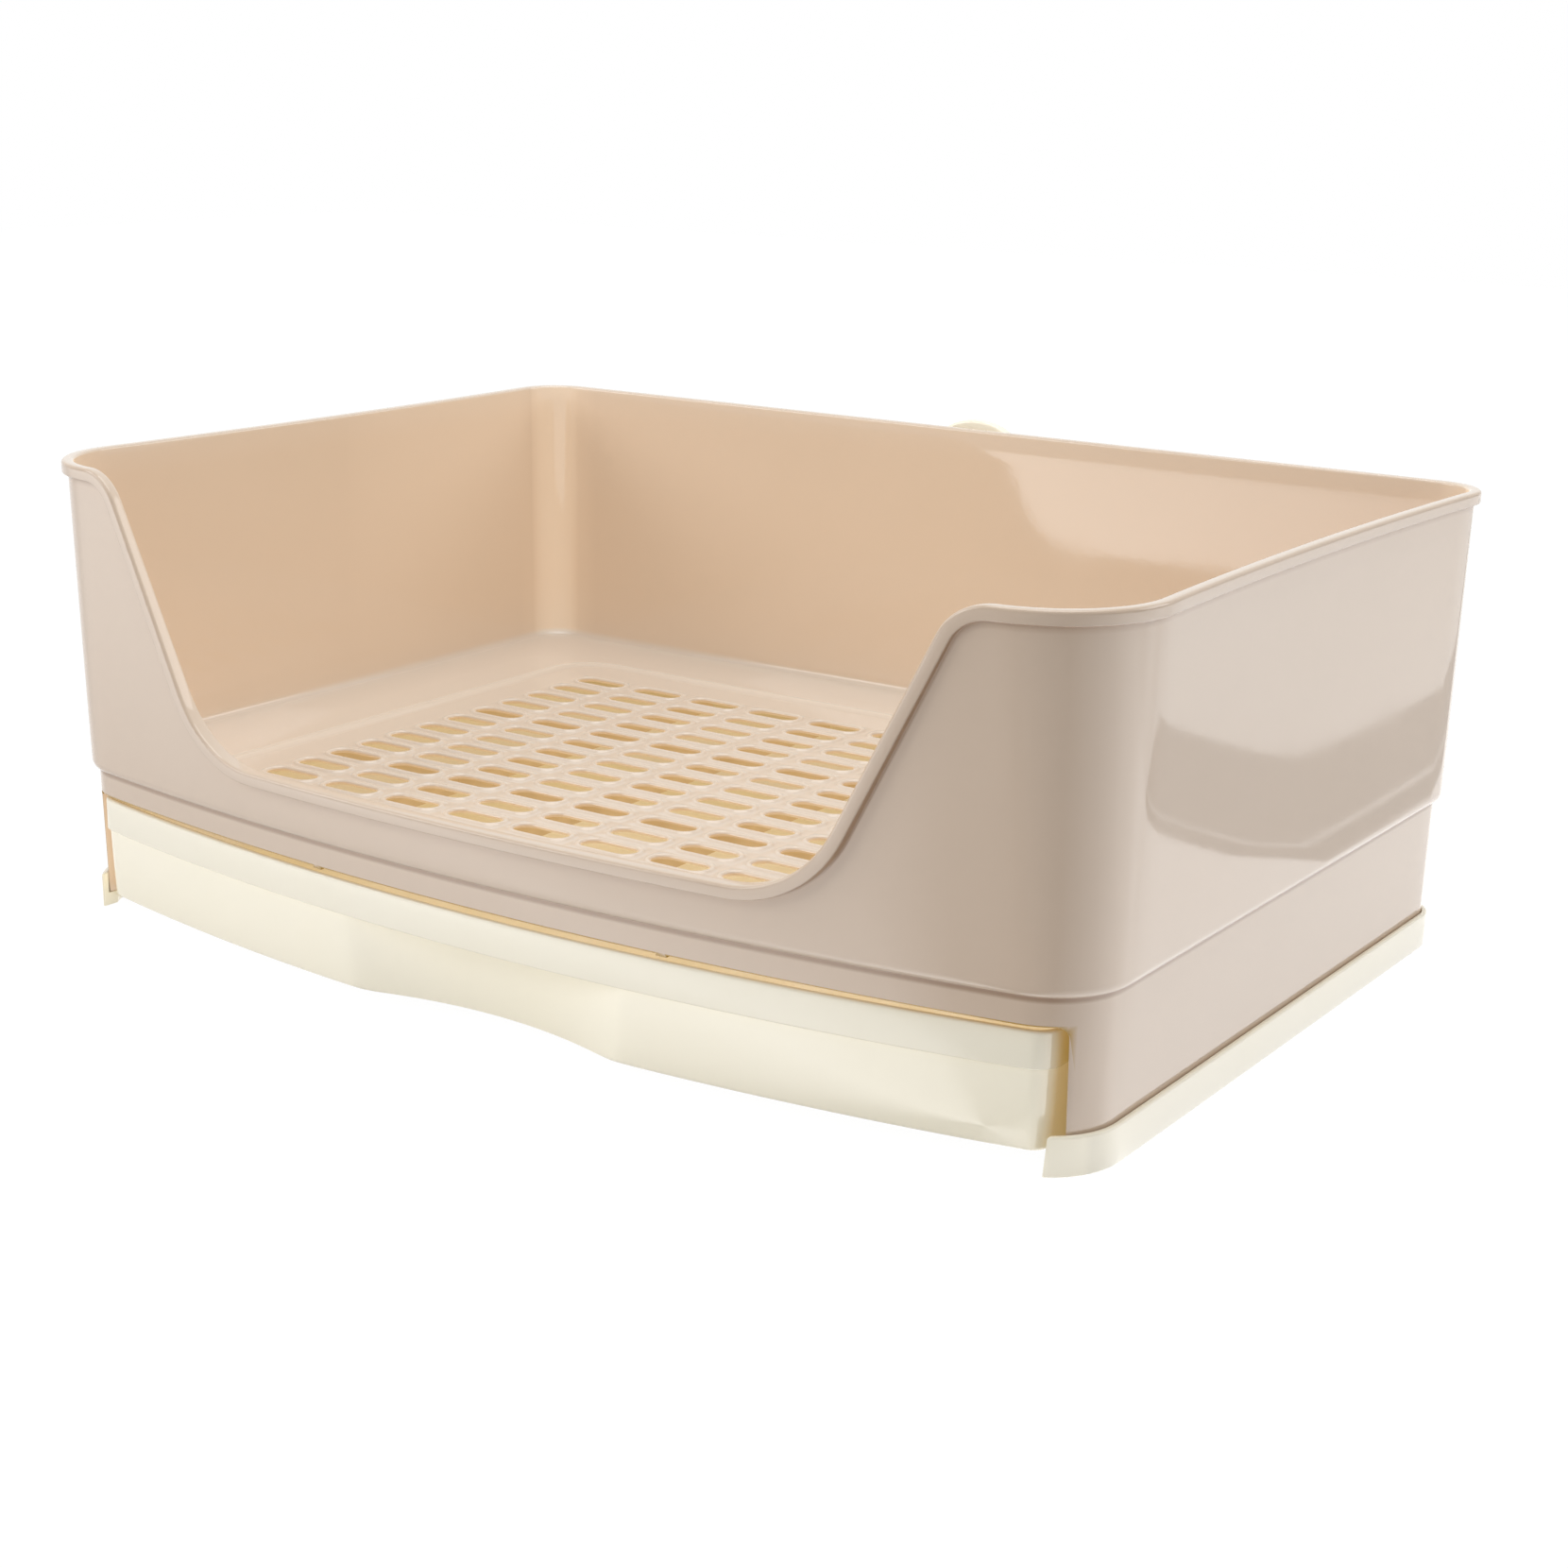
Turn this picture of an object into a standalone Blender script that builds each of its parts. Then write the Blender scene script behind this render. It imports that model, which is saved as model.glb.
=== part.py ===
"""Small animal litter tray: a scooped enclosure with a drop-in floor grate, over a drawer on a base tray.

Metres, +Z up. The front faces -Y. The origin lies on the ground, under the middle of the whole object.
"""
from collections import namedtuple
from math import atan2, cos, pi, radians, sin, sqrt, tan

import bmesh
import bpy
from mathutils import Matrix, Vector

# Whole enclosure
WIDTH = 0.420
DEPTH = 0.2998
RIM_HEIGHT = 0.1634

# Its plan: a bowed front, rounded corners, and sides drawn in a little at rim height
BOW_RADIUS_RIM = 1.36
BOW_RADIUS_FOOT = 1.05
FRONT_CORNER_RIM = 0.0375
FRONT_CORNER_FOOT = 0.0312
REAR_CORNER_RIM = 0.0190
REAR_CORNER_FOOT = 0.0200
SIDE_DRAWN_IN = 0.0033

# Its walls, lip and step
WALL = 0.0022
WALL_DRAFT = 0.0020
LIP_PROUD = 0.0020
LIP_WIDTH = 0.0042
LIP_HEIGHT = 0.0043
LIP_ROUND = 0.0010
STEP_HEIGHT = 0.0533
STEP_LEDGE = 0.0025
STEP_ROUND = 0.0034
BAND_DRAFT = 0.0011

# Scoop in the front wall
SILL_HEIGHT = 0.0725
WING_WIDTH = 0.0455
SCOOP_ANGLE = radians(63.4)
SCOOP_FOOT_RADIUS = 0.0380
SCOOP_HEAD_RADIUS = 0.0170

# Floor ledge round the grate's opening: a level strip, a slight fall, a level seat
FLOOR_TOP = 0.0556
FLOOR_THICKNESS = 0.0024
FLOOR_FALL = 0.0009
FLOOR_CORNER = 0.0230
STRIP_SIDE = 0.0230
STRIP_REAR = 0.0215
STRIP_FRONT = 0.0030

# Grate
GRATE_SIDE_MARGIN = 0.0430
GRATE_REAR_MARGIN = 0.0345
GRATE_FRONT_MARGIN = 0.0065
GRATE_CORNER = 0.0200
GRATE_THICKNESS = 0.0016
GRATE_RAISED = 0.0008
GRATE_FLANGE = 0.0040
FLANGE_EDGE = 0.0005
SEAT_MARGIN = 0.0012
BEAD_HEIGHT = 0.0010
BEAD_WIDTH = 0.0040
SLOT_PITCH_X = 0.0282
SLOT_PITCH_Y = 0.01585
SLOT_LENGTH = 0.0212
SLOT_WIDTH = 0.0084
SLOT_SIDE_BORDER = 0.0180
SLOT_FRONT_BORDER = 0.0120
FIRST_ROW_FROM_REAR = 0.0292
RIB_THICKNESS = 0.0018
RIB_DEPTH = 0.0061
RIB_MARGIN = 0.0120
COLUMNS_PER_RIB = 2
OUTER_ROWS_PER_RIB = 4

# Drawer's opening in the skirt, with two small stops in its top edge
OPENING_HEIGHT = 0.0443
OPENING_HALF_WIDTH = 0.1958
OPENING_ROUND = 0.0022
OPENING_REACH = 0.0600
STOP_SPREAD = 0.0700
STOP_WIDTH = 0.0040
STOP_DROP = 0.0012

# Base tray
RAIL_HEIGHT = 0.0123
RAIL_PROUD = 0.0024
RAIL_FOOT_WIDTH = 0.0046
BASE_FLOOR_TOP = 0.0046
BASE_FLOOR_THICKNESS = 0.0024
MOUTH_HALF_WIDTH = 0.1938
MOUTH_FLARE = 0.0008
MOUTH_REACH = 0.0300

# Drawer
DRAWER_TOP = 0.0420
DRAWER_HALF_WIDTH = 0.19335
DRAWER_OFF_CENTRE = -0.00185
DRAWER_BOW_RADIUS = 0.900
DRAWER_FRONT_CORNER = 0.0085
DRAWER_REAR_CORNER = 0.0120
DRAWER_REAR_MARGIN = 0.0200
DRAWER_WALL = 0.0022
DRAWER_DRAFT = 0.0010
COLLAR_HEIGHT = 0.0117
COLLAR_PROUD = 0.0009
GRIP_HALF_WIDTH = 0.0600
GRIP_DEPTH = 0.0120
GRIP_SPREAD = radians(30)

# Clamp knob, its boss and the ribbed pad round it on the rear wall
KNOB_HEIGHT = 0.1406
KNOB_RADIUS = 0.0255
KNOB_DISC = 0.0045
KNOB_ROUND = 0.0012
THUMB_BAR_LENGTH = 0.0360
THUMB_BAR_WIDTH = 0.0080
THUMB_BAR_HEIGHT = 0.0060
SHANK_RADIUS = 0.0050
SHANK_CLEARANCE = 0.0003
BOSS_RADIUS = 0.0085
BOSS_STAND_OUT = 0.0033
PAD_WIDTH = 0.0760
PAD_HEIGHT = 0.0480
PAD_RIB = 0.0020
PAD_STAND_OUT = 0.0020
PAD_BELOW_LIP = 0.0006

# Gap between pieces that rest on each other, merging distance, overrun of cutters, and how deep
# joined shapes sink in
GAP = 0.0003
MERGE_DISTANCE = 0.00001
OVERRUN = 0.0100
SINK = 0.0010

# Segments along each stretch of an outline
SILL_SEGMENTS = 3
SCOOP_ARC_SEGMENTS = 5
SLOPE_SEGMENTS = 2
CORNER_SEGMENTS = 6
SIDE_SEGMENTS = 6
REAR_SEGMENTS = 2
STEP_SEGMENTS = 3
BOW_SEGMENTS = 6
BEAD_SEGMENTS = 3
SLOT_END_SEGMENTS = 3
GRIP_SEGMENTS = 10
ROUND_SEGMENTS = 3
KNOB_SEGMENTS = 36
SHANK_SEGMENTS = 20

# Places that follow from the sizes
HALF = WIDTH / 2
KNOB_REACH = BOSS_STAND_OUT + GAP + KNOB_DISC + THUMB_BAR_HEIGHT
FRONT = -(DEPTH + KNOB_REACH) / 2
REAR = FRONT + DEPTH
SKIRT_FOOT = BASE_FLOOR_TOP + GAP
DRAWER_FOOT = BASE_FLOOR_TOP + GAP
SEAT_HEIGHT = FLOOR_TOP - FLOOR_FALL
FLANGE_FOOT = SEAT_HEIGHT + GAP
GRATE_TOP = SEAT_HEIGHT + GRATE_RAISED
GRATE_FOOT = GRATE_TOP - GRATE_THICKNESS
KNOB_FACE = REAR + BOSS_STAND_OUT + GAP

Plan = namedtuple("Plan", "half front rear front_corner rear_corner bow drawn_in")


# Outlines seen from above
def blend(a, b, share):
    return a + (b - a) * share


def shrunk(plan, inset):
    """The same outline moved inwards all round."""
    return Plan(plan.half - inset, plan.front + inset, plan.rear - inset, plan.front_corner - inset,
                plan.rear_corner - inset, plan.bow - inset, plan.drawn_in)


def face_y(plan, x):
    """Place of the bowed front at x."""
    return plan.front + plan.bow - sqrt(plan.bow ** 2 - x ** 2)


def corner_lean(plan):
    """Centre height of the front corner's fillet, and the angle at which it meets the bow."""
    across = plan.half - plan.front_corner
    centre_y = plan.front + plan.bow - sqrt((plan.bow - plan.front_corner) ** 2 - across ** 2)
    return centre_y, atan2(centre_y - plan.front - plan.bow, across)


def face_half(plan):
    """Half width of the bowed front, up to its corner fillets."""
    return plan.bow * cos(corner_lean(plan)[1])


def arc(centre_x, centre_y, radius, start, end, segments):
    """Points along an arc, without its first one."""
    angles = [blend(start, end, i / segments) for i in range(1, segments + 1)]
    return [(centre_x + radius * cos(a), centre_y + radius * sin(a)) for a in angles]


def right_side(plan):
    """Points from the right end of the bowed front to the middle of the rear, without its first one."""
    centre_y, lean = corner_lean(plan)
    points = arc(plan.half - plan.front_corner, centre_y, plan.front_corner, lean, 0.0, CORNER_SEGMENTS)
    run = plan.rear - plan.rear_corner - centre_y
    for i in range(1, SIDE_SEGMENTS + 1):
        share = i / SIDE_SEGMENTS
        points.append((plan.half - plan.drawn_in * 4 * share * (1 - share), centre_y + run * share))
    rear_half = plan.half - plan.rear_corner
    points += arc(rear_half, plan.rear - plan.rear_corner, plan.rear_corner, 0.0, pi / 2, CORNER_SEGMENTS)
    points += [(rear_half * (1 - i / REAR_SEGMENTS), plan.rear) for i in range(1, REAR_SEGMENTS + 1)]
    return points


def ring(plan, z, face=None, plan_at=None):
    """Closed outline at one height, anticlockwise from the middle of the front.

    face may list (x, z) for the right half of the front, from its middle to its end, where the edge
    rises or falls; plan_at then gives the outline at each of those heights.
    """
    end = face_half(plan)
    if face is None:
        face = [(end * i / BOW_SEGMENTS, z) for i in range(BOW_SEGMENTS)]
    plan_at = plan_at or (lambda height: plan)
    right = [(x, face_y(plan_at(height), x), height) for x, height in face] + [(end, face_y(plan, end), z)]
    right += [(x, y, z) for x, y in right_side(plan)]
    left = [(-x, y, height) for x, y, height in reversed(right[1:-1])]
    return right + left


# Meshes
def mesh_from(shape, name):
    bmesh.ops.recalc_face_normals(shape, faces=shape.faces)
    mesh = bpy.data.meshes.new(name)
    shape.to_mesh(mesh)
    shape.free()
    return mesh


def loft(rings, closed=False):
    """Skin over rings of equal counts. Its first and last rings are joined, or else each is filled."""
    shape = bmesh.new()
    rows = [[shape.verts.new(point) for point in points] for points in rings]
    pairs = list(zip(rows, rows[1:] + rows[:1] if closed else rows[1:]))
    for low, high in pairs:
        for i, corner in enumerate(low):
            after = (i + 1) % len(low)
            shape.faces.new((corner, low[after], high[after], high[i]))
    if not closed:
        shape.faces.new(list(reversed(rows[0])))
        shape.faces.new(rows[-1])
    return mesh_from(shape, "loft")


def box(low, high):
    shape = bmesh.new()
    bmesh.ops.create_cube(shape, size=1.0)
    for corner in shape.verts:
        corner.co = [low[i] if corner.co[i] < 0 else high[i] for i in range(3)]
    return mesh_from(shape, "box")


def cylinder(radius, front, rear, height):
    """Cylinder along Y, over the middle of the rear wall."""
    shape = bmesh.new()
    place = Matrix.Translation((0.0, (front + rear) / 2, height)) @ Matrix.Rotation(radians(90), 4, 'X')
    bmesh.ops.create_cone(shape, cap_ends=True, segments=SHANK_SEGMENTS, radius1=radius, radius2=radius,
                          depth=rear - front, matrix=place)
    return mesh_from(shape, "cylinder")


def drawn_out(outline, travel):
    """Flat outline drawn out by a vector."""
    shape = bmesh.new()
    face = shape.faces.new([shape.verts.new(point) for point in outline])
    made = bmesh.ops.extrude_face_region(shape, geom=[face])
    moved = [item for item in made["geom"] if isinstance(item, bmesh.types.BMVert)]
    bmesh.ops.translate(shape, verts=moved, vec=travel)
    return mesh_from(shape, "drawn_out")


def upright(outline, front, rear):
    """Solid along Y over an outline given as (x, z)."""
    return drawn_out([(x, front, z) for x, z in outline], (0.0, rear - front, 0.0))


def standing(outline, low, high):
    """Solid along Z over an outline given as (x, y)."""
    return drawn_out([(x, y, low) for x, y in outline], (0.0, 0.0, high - low))


def profile(points):
    """Line of edges for a Screw modifier."""
    mesh = bpy.data.meshes.new("profile")
    mesh.from_pydata(points, [(i, i + 1) for i in range(len(points) - 1)], [])
    return mesh


def together(meshes):
    """One mesh of several shapes that don't touch."""
    shape = bmesh.new()
    for mesh in meshes:
        shape.from_mesh(mesh)
    return mesh_from(shape, "together")


# Objects
def collection(name):
    made = bpy.data.collections.new(name)
    bpy.context.scene.collection.children.link(made)
    return made


def moulding(name, colour, roughness):
    """Injection-moulded polypropylene of one colour."""
    made = bpy.data.materials.new(name)
    made.use_nodes = True
    shader = made.node_tree.nodes["Principled BSDF"]
    shader.inputs["Base Color"].default_value = (*colour, 1.0)
    shader.inputs["Roughness"].default_value = roughness
    shader.inputs["Metallic"].default_value = 0.0
    return made


def add_part(name, mesh, finish, origin=(0.0, 0.0, 0.0)):
    """Puts a sub-part in the scene, with its origin where it turns or slides."""
    for corner in mesh.vertices:
        corner.co -= Vector(origin)
    obj = bpy.data.objects.new(name, mesh)
    obj.location = origin
    mesh.materials.append(finish)
    parts.objects.link(obj)
    return obj


def cut(obj, mesh, name, operation='DIFFERENCE'):
    """Cuts or joins a shape, which stays in the scene as a hidden guide."""
    guide = bpy.data.objects.new(name, mesh)
    guide.hide_render = True
    guide.display_type = 'WIRE'
    cutters.objects.link(guide)
    modifier = obj.modifiers.new(name, 'BOOLEAN')
    modifier.operation = operation
    modifier.object = guide
    return guide


def shade(obj):
    obj.data.shade_smooth()
    obj.data.set_sharp_from_angle(angle=radians(30))


# Heights and insets of the enclosure
def low_share(z):
    """0 at the rim, 1 at the step and below it."""
    return min(1.0, (RIM_HEIGHT - z) / (RIM_HEIGHT - STEP_HEIGHT))


def body_plan(z):
    """Outline at a height, at the lip's outer face."""
    share = low_share(z)
    return Plan(HALF, FRONT, REAR, blend(FRONT_CORNER_RIM, FRONT_CORNER_FOOT, share),
                blend(REAR_CORNER_RIM, REAR_CORNER_FOOT, share),
                1 / blend(1 / BOW_RADIUS_RIM, 1 / BOW_RADIUS_FOOT, share), SIDE_DRAWN_IN * (1 - share))


def wall_inset(z):
    """How far the wall's outer face stands in from the lip's, above the step."""
    return LIP_PROUD + WALL_DRAFT * (RIM_HEIGHT - z) / (RIM_HEIGHT - STEP_HEIGHT)


def band_inset(z):
    """The same for the skirt band, below the step."""
    return wall_inset(STEP_HEIGHT) + STEP_LEDGE + BAND_DRAFT * (STEP_HEIGHT - z) / STEP_HEIGHT


def wall_plan(z):
    return shrunk(body_plan(z), wall_inset(z))


def room_plan(z):
    """Inner face of the wall."""
    return shrunk(body_plan(z), blend(LIP_WIDTH, wall_inset(STEP_HEIGHT) + WALL, low_share(z)))


def floor_plan(side, rear, front, corner):
    """Outline on the floor, by its margins to the inner wall."""
    room = room_plan(FLOOR_TOP)
    return Plan(room.half - side, room.front + front, room.rear - rear, corner, corner, room.bow, 0.0)


def grate_plan():
    return floor_plan(GRATE_SIDE_MARGIN, GRATE_REAR_MARGIN, GRATE_FRONT_MARGIN, GRATE_CORNER)


def scoop_edge():
    """Right half of the rim's line over the front, from the middle outwards: (x, z, direction)."""
    head_x = HALF - WING_WIDTH
    foot_x = head_x - (RIM_HEIGHT - SILL_HEIGHT) / tan(SCOOP_ANGLE) - SCOOP_FOOT_RADIUS * tan(SCOOP_ANGLE / 2)
    end_x = head_x + SCOOP_HEAD_RADIUS * tan(SCOOP_ANGLE / 2)
    points = [(foot_x * i / SILL_SEGMENTS, SILL_HEIGHT, 0.0) for i in range(SILL_SEGMENTS + 1)]
    for i in range(1, SCOOP_ARC_SEGMENTS + 1):
        turn = SCOOP_ANGLE * i / SCOOP_ARC_SEGMENTS
        points.append((foot_x + SCOOP_FOOT_RADIUS * sin(turn),
                       SILL_HEIGHT + SCOOP_FOOT_RADIUS * (1 - cos(turn)), turn))
    low_x, low_z, turn = points[-1]
    high_x = end_x - SCOOP_HEAD_RADIUS * sin(SCOOP_ANGLE)
    high_z = RIM_HEIGHT - SCOOP_HEAD_RADIUS * (1 - cos(SCOOP_ANGLE))
    for i in range(1, SLOPE_SEGMENTS):
        points.append((blend(low_x, high_x, i / SLOPE_SEGMENTS), blend(low_z, high_z, i / SLOPE_SEGMENTS), turn))
    for i in range(SCOOP_ARC_SEGMENTS + 1):
        turn = SCOOP_ANGLE * (1 - i / SCOOP_ARC_SEGMENTS)
        points.append((end_x - SCOOP_HEAD_RADIUS * sin(turn),
                       RIM_HEIGHT - SCOOP_HEAD_RADIUS * (1 - cos(turn)), turn))
    return points


def enclosure_mesh():
    """Walls, lip, step, skirt and floor ledge as one closed profile taken round the tray."""
    edge = scoop_edge()

    def along_rim(below, plan_at):
        face = [(x + below * sin(turn), z - below * cos(turn)) for x, z, turn in edge]
        return ring(plan_at(RIM_HEIGHT - below), RIM_HEIGHT - below, face, plan_at)

    def level(plan, z, below=LIP_HEIGHT):
        face_share = face_half(plan) / face_half(body_plan(z))
        return ring(plan, z, [((x + below * sin(turn)) * face_share, z) for x, q, turn in edge])

    lip = [along_rim(0.0, lambda z: shrunk(body_plan(z), LIP_ROUND)), along_rim(LIP_ROUND, body_plan),
           along_rim(LIP_HEIGHT, body_plan), along_rim(LIP_HEIGHT, wall_plan)]
    step = []
    for i in range(STEP_SEGMENTS + 1):
        turn = pi / 2 * i / STEP_SEGMENTS
        inset = wall_inset(STEP_HEIGHT) + STEP_LEDGE * (1 - cos(turn))
        height = STEP_HEIGHT + STEP_ROUND * (1 - sin(turn))
        step.append(level(shrunk(body_plan(STEP_HEIGHT), inset), height))
    foot = body_plan(SKIRT_FOOT)
    underside = FLOOR_TOP - FLOOR_THICKNESS
    skirt = [level(shrunk(foot, band_inset(SKIRT_FOOT)), SKIRT_FOOT),
             level(shrunk(foot, band_inset(SKIRT_FOOT) + WALL), SKIRT_FOOT),
             level(shrunk(foot, band_inset(underside) + WALL), underside)]
    hole = shrunk(grate_plan(), GRATE_FLANGE)
    strip = floor_plan(STRIP_SIDE, STRIP_REAR, STRIP_FRONT, FLOOR_CORNER)
    floor = [level(hole, underside), level(hole, SEAT_HEIGHT), level(shrunk(grate_plan(), -SEAT_MARGIN), SEAT_HEIGHT),
             level(strip, FLOOR_TOP), level(room_plan(FLOOR_TOP), FLOOR_TOP, 0.0)]
    inside = [along_rim(LIP_ROUND, room_plan),
              along_rim(0.0, lambda z: shrunk(room_plan(z), -LIP_ROUND))]
    return loft(lip + step + skirt + floor + inside, closed=True)


def opening_outline():
    """Drawer's opening as (x, z): rounded upper corners, and a stop at each side of its top edge."""
    low = SKIRT_FOOT - OVERRUN
    half, top, inner = OPENING_HALF_WIDTH, OPENING_HEIGHT, OPENING_HALF_WIDTH - OPENING_ROUND
    right = [(half, low), (half, top - OPENING_ROUND)]
    right += arc(inner, top - OPENING_ROUND, OPENING_ROUND, 0.0, pi / 2, ROUND_SEGMENTS)
    outer_x, inner_x = STOP_SPREAD + STOP_WIDTH / 2, STOP_SPREAD - STOP_WIDTH / 2
    right += [(outer_x, top), (outer_x, top - STOP_DROP), (inner_x, top - STOP_DROP), (inner_x, top)]
    return right + [(-x, z) for x, z in reversed(right)]


def make_enclosure(finish):
    obj = add_part("enclosure", enclosure_mesh(), finish)
    cut(obj, upright(opening_outline(), FRONT - OVERRUN, FRONT + OPENING_REACH), "drawer_opening")
    wall_middle = REAR - wall_inset(KNOB_HEIGHT) - WALL / 2
    pad_top = RIM_HEIGHT - LIP_HEIGHT - PAD_BELOW_LIP
    pad_foot = pad_top - PAD_HEIGHT
    half, pad_face = PAD_WIDTH / 2, REAR + PAD_STAND_OUT
    pad = cut(obj, box((-half, wall_middle, pad_foot), (half, pad_face, pad_top)), "pad_frame", 'UNION')
    cut(pad, box((-half + PAD_RIB, wall_middle - OVERRUN, pad_foot + PAD_RIB),
                 (half - PAD_RIB, pad_face + OVERRUN, pad_top - PAD_RIB)), "pad_pocket")
    cut(obj, box((-half + PAD_RIB - SINK, wall_middle, KNOB_HEIGHT - PAD_RIB / 2),
                 (half - PAD_RIB + SINK, pad_face - GAP, KNOB_HEIGHT + PAD_RIB / 2)), "level_pad_rib", 'UNION')
    cut(obj, box((-PAD_RIB / 2, wall_middle, pad_foot + PAD_RIB - SINK),
                 (PAD_RIB / 2, pad_face - 2 * GAP, pad_top - PAD_RIB + SINK)), "upright_pad_rib", 'UNION')
    boss_face = REAR + BOSS_STAND_OUT
    cut(obj, cylinder(BOSS_RADIUS, wall_middle + GAP, boss_face, KNOB_HEIGHT), "boss", 'UNION')
    cut(obj, cylinder(SHANK_RADIUS + SHANK_CLEARANCE, REAR - wall_inset(KNOB_HEIGHT), boss_face + OVERRUN,
                      KNOB_HEIGHT), "boss_bore")
    return obj


def slot(x, y):
    """Prism with round ends, for one slot of the grate."""
    radius = SLOT_WIDTH / 2
    reach = SLOT_LENGTH / 2 - radius
    outline = [(x + reach, y - radius)] + arc(x + reach, y, radius, -pi / 2, pi / 2, SLOT_END_SEGMENTS)
    outline += [(x - reach, y + radius)] + arc(x - reach, y, radius, pi / 2, 3 * pi / 2, SLOT_END_SEGMENTS)
    return standing(outline, GRATE_FOOT - RIB_DEPTH - OVERRUN, GRATE_TOP + OVERRUN)


def grate_mesh():
    """Panel with a flange that rests on the floor's seat and a rounded bead along its edge."""
    plan = grate_plan()
    crest = GRATE_TOP + BEAD_HEIGHT
    edge_top = FLANGE_FOOT + FLANGE_EDGE
    inner = shrunk(plan, GRATE_FLANGE + GAP)
    rings = [ring(inner, GRATE_FOOT), ring(inner, FLANGE_FOOT), ring(plan, FLANGE_FOOT)]
    for i in range(BEAD_SEGMENTS + 1):
        turn = pi / 2 * i / BEAD_SEGMENTS
        rings.append(ring(shrunk(plan, BEAD_WIDTH * (1 - cos(turn))), blend(edge_top, crest, sin(turn))))
    for i in range(1, BEAD_SEGMENTS + 1):
        share = i / BEAD_SEGMENTS
        rings.append(ring(shrunk(plan, BEAD_WIDTH * (1 + share)), GRATE_TOP + BEAD_HEIGHT * (1 + cos(pi * share)) / 2))
    return loft(rings)


def make_grate(finish):
    plan = grate_plan()
    obj = add_part("floor_grate", grate_mesh(), finish)
    column_gaps = int((2 * (plan.half - SLOT_SIDE_BORDER) - SLOT_LENGTH) / SLOT_PITCH_X)
    columns = [(i - column_gaps / 2) * SLOT_PITCH_X for i in range(column_gaps + 1)]
    first_row = plan.rear - FIRST_ROW_FROM_REAR
    row_gaps = int((first_row - face_y(plan, columns[-1]) - SLOT_FRONT_BORDER) / SLOT_PITCH_Y)
    rows = [first_row - i * SLOT_PITCH_Y for i in range(row_gaps + 1)]
    cut(obj, together([slot(x, y) for x in columns for y in rows]), "slots")
    low, high = GRATE_FOOT - RIB_DEPTH, GRATE_FOOT + SINK
    half = plan.half - RIB_MARGIN
    front, rear = face_y(plan, columns[-1]) + RIB_MARGIN, plan.rear - RIB_MARGIN
    for i in range(COLUMNS_PER_RIB, len(columns), COLUMNS_PER_RIB):
        x = (columns[i - 1] + columns[i]) / 2
        cut(obj, box((x - RIB_THICKNESS / 2, front, low), (x + RIB_THICKNESS / 2, rear, high)),
            f"length_rib_{i}", 'UNION')
    for i in (OUTER_ROWS_PER_RIB, len(rows) - OUTER_ROWS_PER_RIB):
        y = (rows[i - 1] + rows[i]) / 2
        cut(obj, box((-half, y - RIB_THICKNESS / 2, low + GAP), (half, y + RIB_THICKNESS / 2, high - GAP)),
            f"cross_rib_{i}", 'UNION')
    return obj


def make_drawer(finish):
    collar_foot = DRAWER_TOP - COLLAR_HEIGHT
    plan = Plan(DRAWER_HALF_WIDTH, FRONT + band_inset(DRAWER_TOP), REAR - DRAWER_REAR_MARGIN,
                DRAWER_FRONT_CORNER, DRAWER_REAR_CORNER, DRAWER_BOW_RADIUS, 0.0)
    body = shrunk(plan, COLLAR_PROUD)
    base = shrunk(body, DRAWER_DRAFT)
    obj = add_part("drawer", loft([ring(base, DRAWER_FOOT), ring(body, collar_foot), ring(plan, collar_foot),
                                   ring(plan, DRAWER_TOP)]), finish, (0.0, plan.front, DRAWER_FOOT))

    grip_radius = (GRIP_HALF_WIDTH ** 2 + GRIP_DEPTH ** 2) / (2 * GRIP_DEPTH)
    grip_y = body.front + GRIP_DEPTH - grip_radius

    def grip(radius, low, high):
        """Upright slice of a large cylinder in front of the drawer."""
        outline = [(-radius * sin(GRIP_SPREAD), grip_y + radius * cos(GRIP_SPREAD))]
        outline += arc(0.0, grip_y, radius, pi / 2 + GRIP_SPREAD, pi / 2 - GRIP_SPREAD, GRIP_SEGMENTS)
        outline += [(outline[-1][0], body.front - GRIP_DEPTH), (outline[0][0], body.front - GRIP_DEPTH)]
        return standing(outline, low, high)

    recess = cut(obj, grip(grip_radius, DRAWER_FOOT - OVERRUN, collar_foot), "grip")
    floor_top = DRAWER_FOOT + DRAWER_WALL
    hollow = cut(obj, loft([ring(shrunk(base, DRAWER_WALL), floor_top), ring(shrunk(body, DRAWER_WALL), collar_foot),
                            ring(shrunk(plan, DRAWER_WALL), DRAWER_TOP),
                            ring(shrunk(plan, DRAWER_WALL), DRAWER_TOP + OVERRUN)]), "hollow")
    bulge = cut(hollow, grip(grip_radius + DRAWER_WALL, floor_top - OVERRUN, collar_foot + DRAWER_WALL),
                "grip_bulge")
    # The drawer stands pushed towards one side of its opening
    for shape in (obj, recess, hollow, bulge):
        shape.location.x += DRAWER_OFF_CENTRE
    return obj


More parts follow.
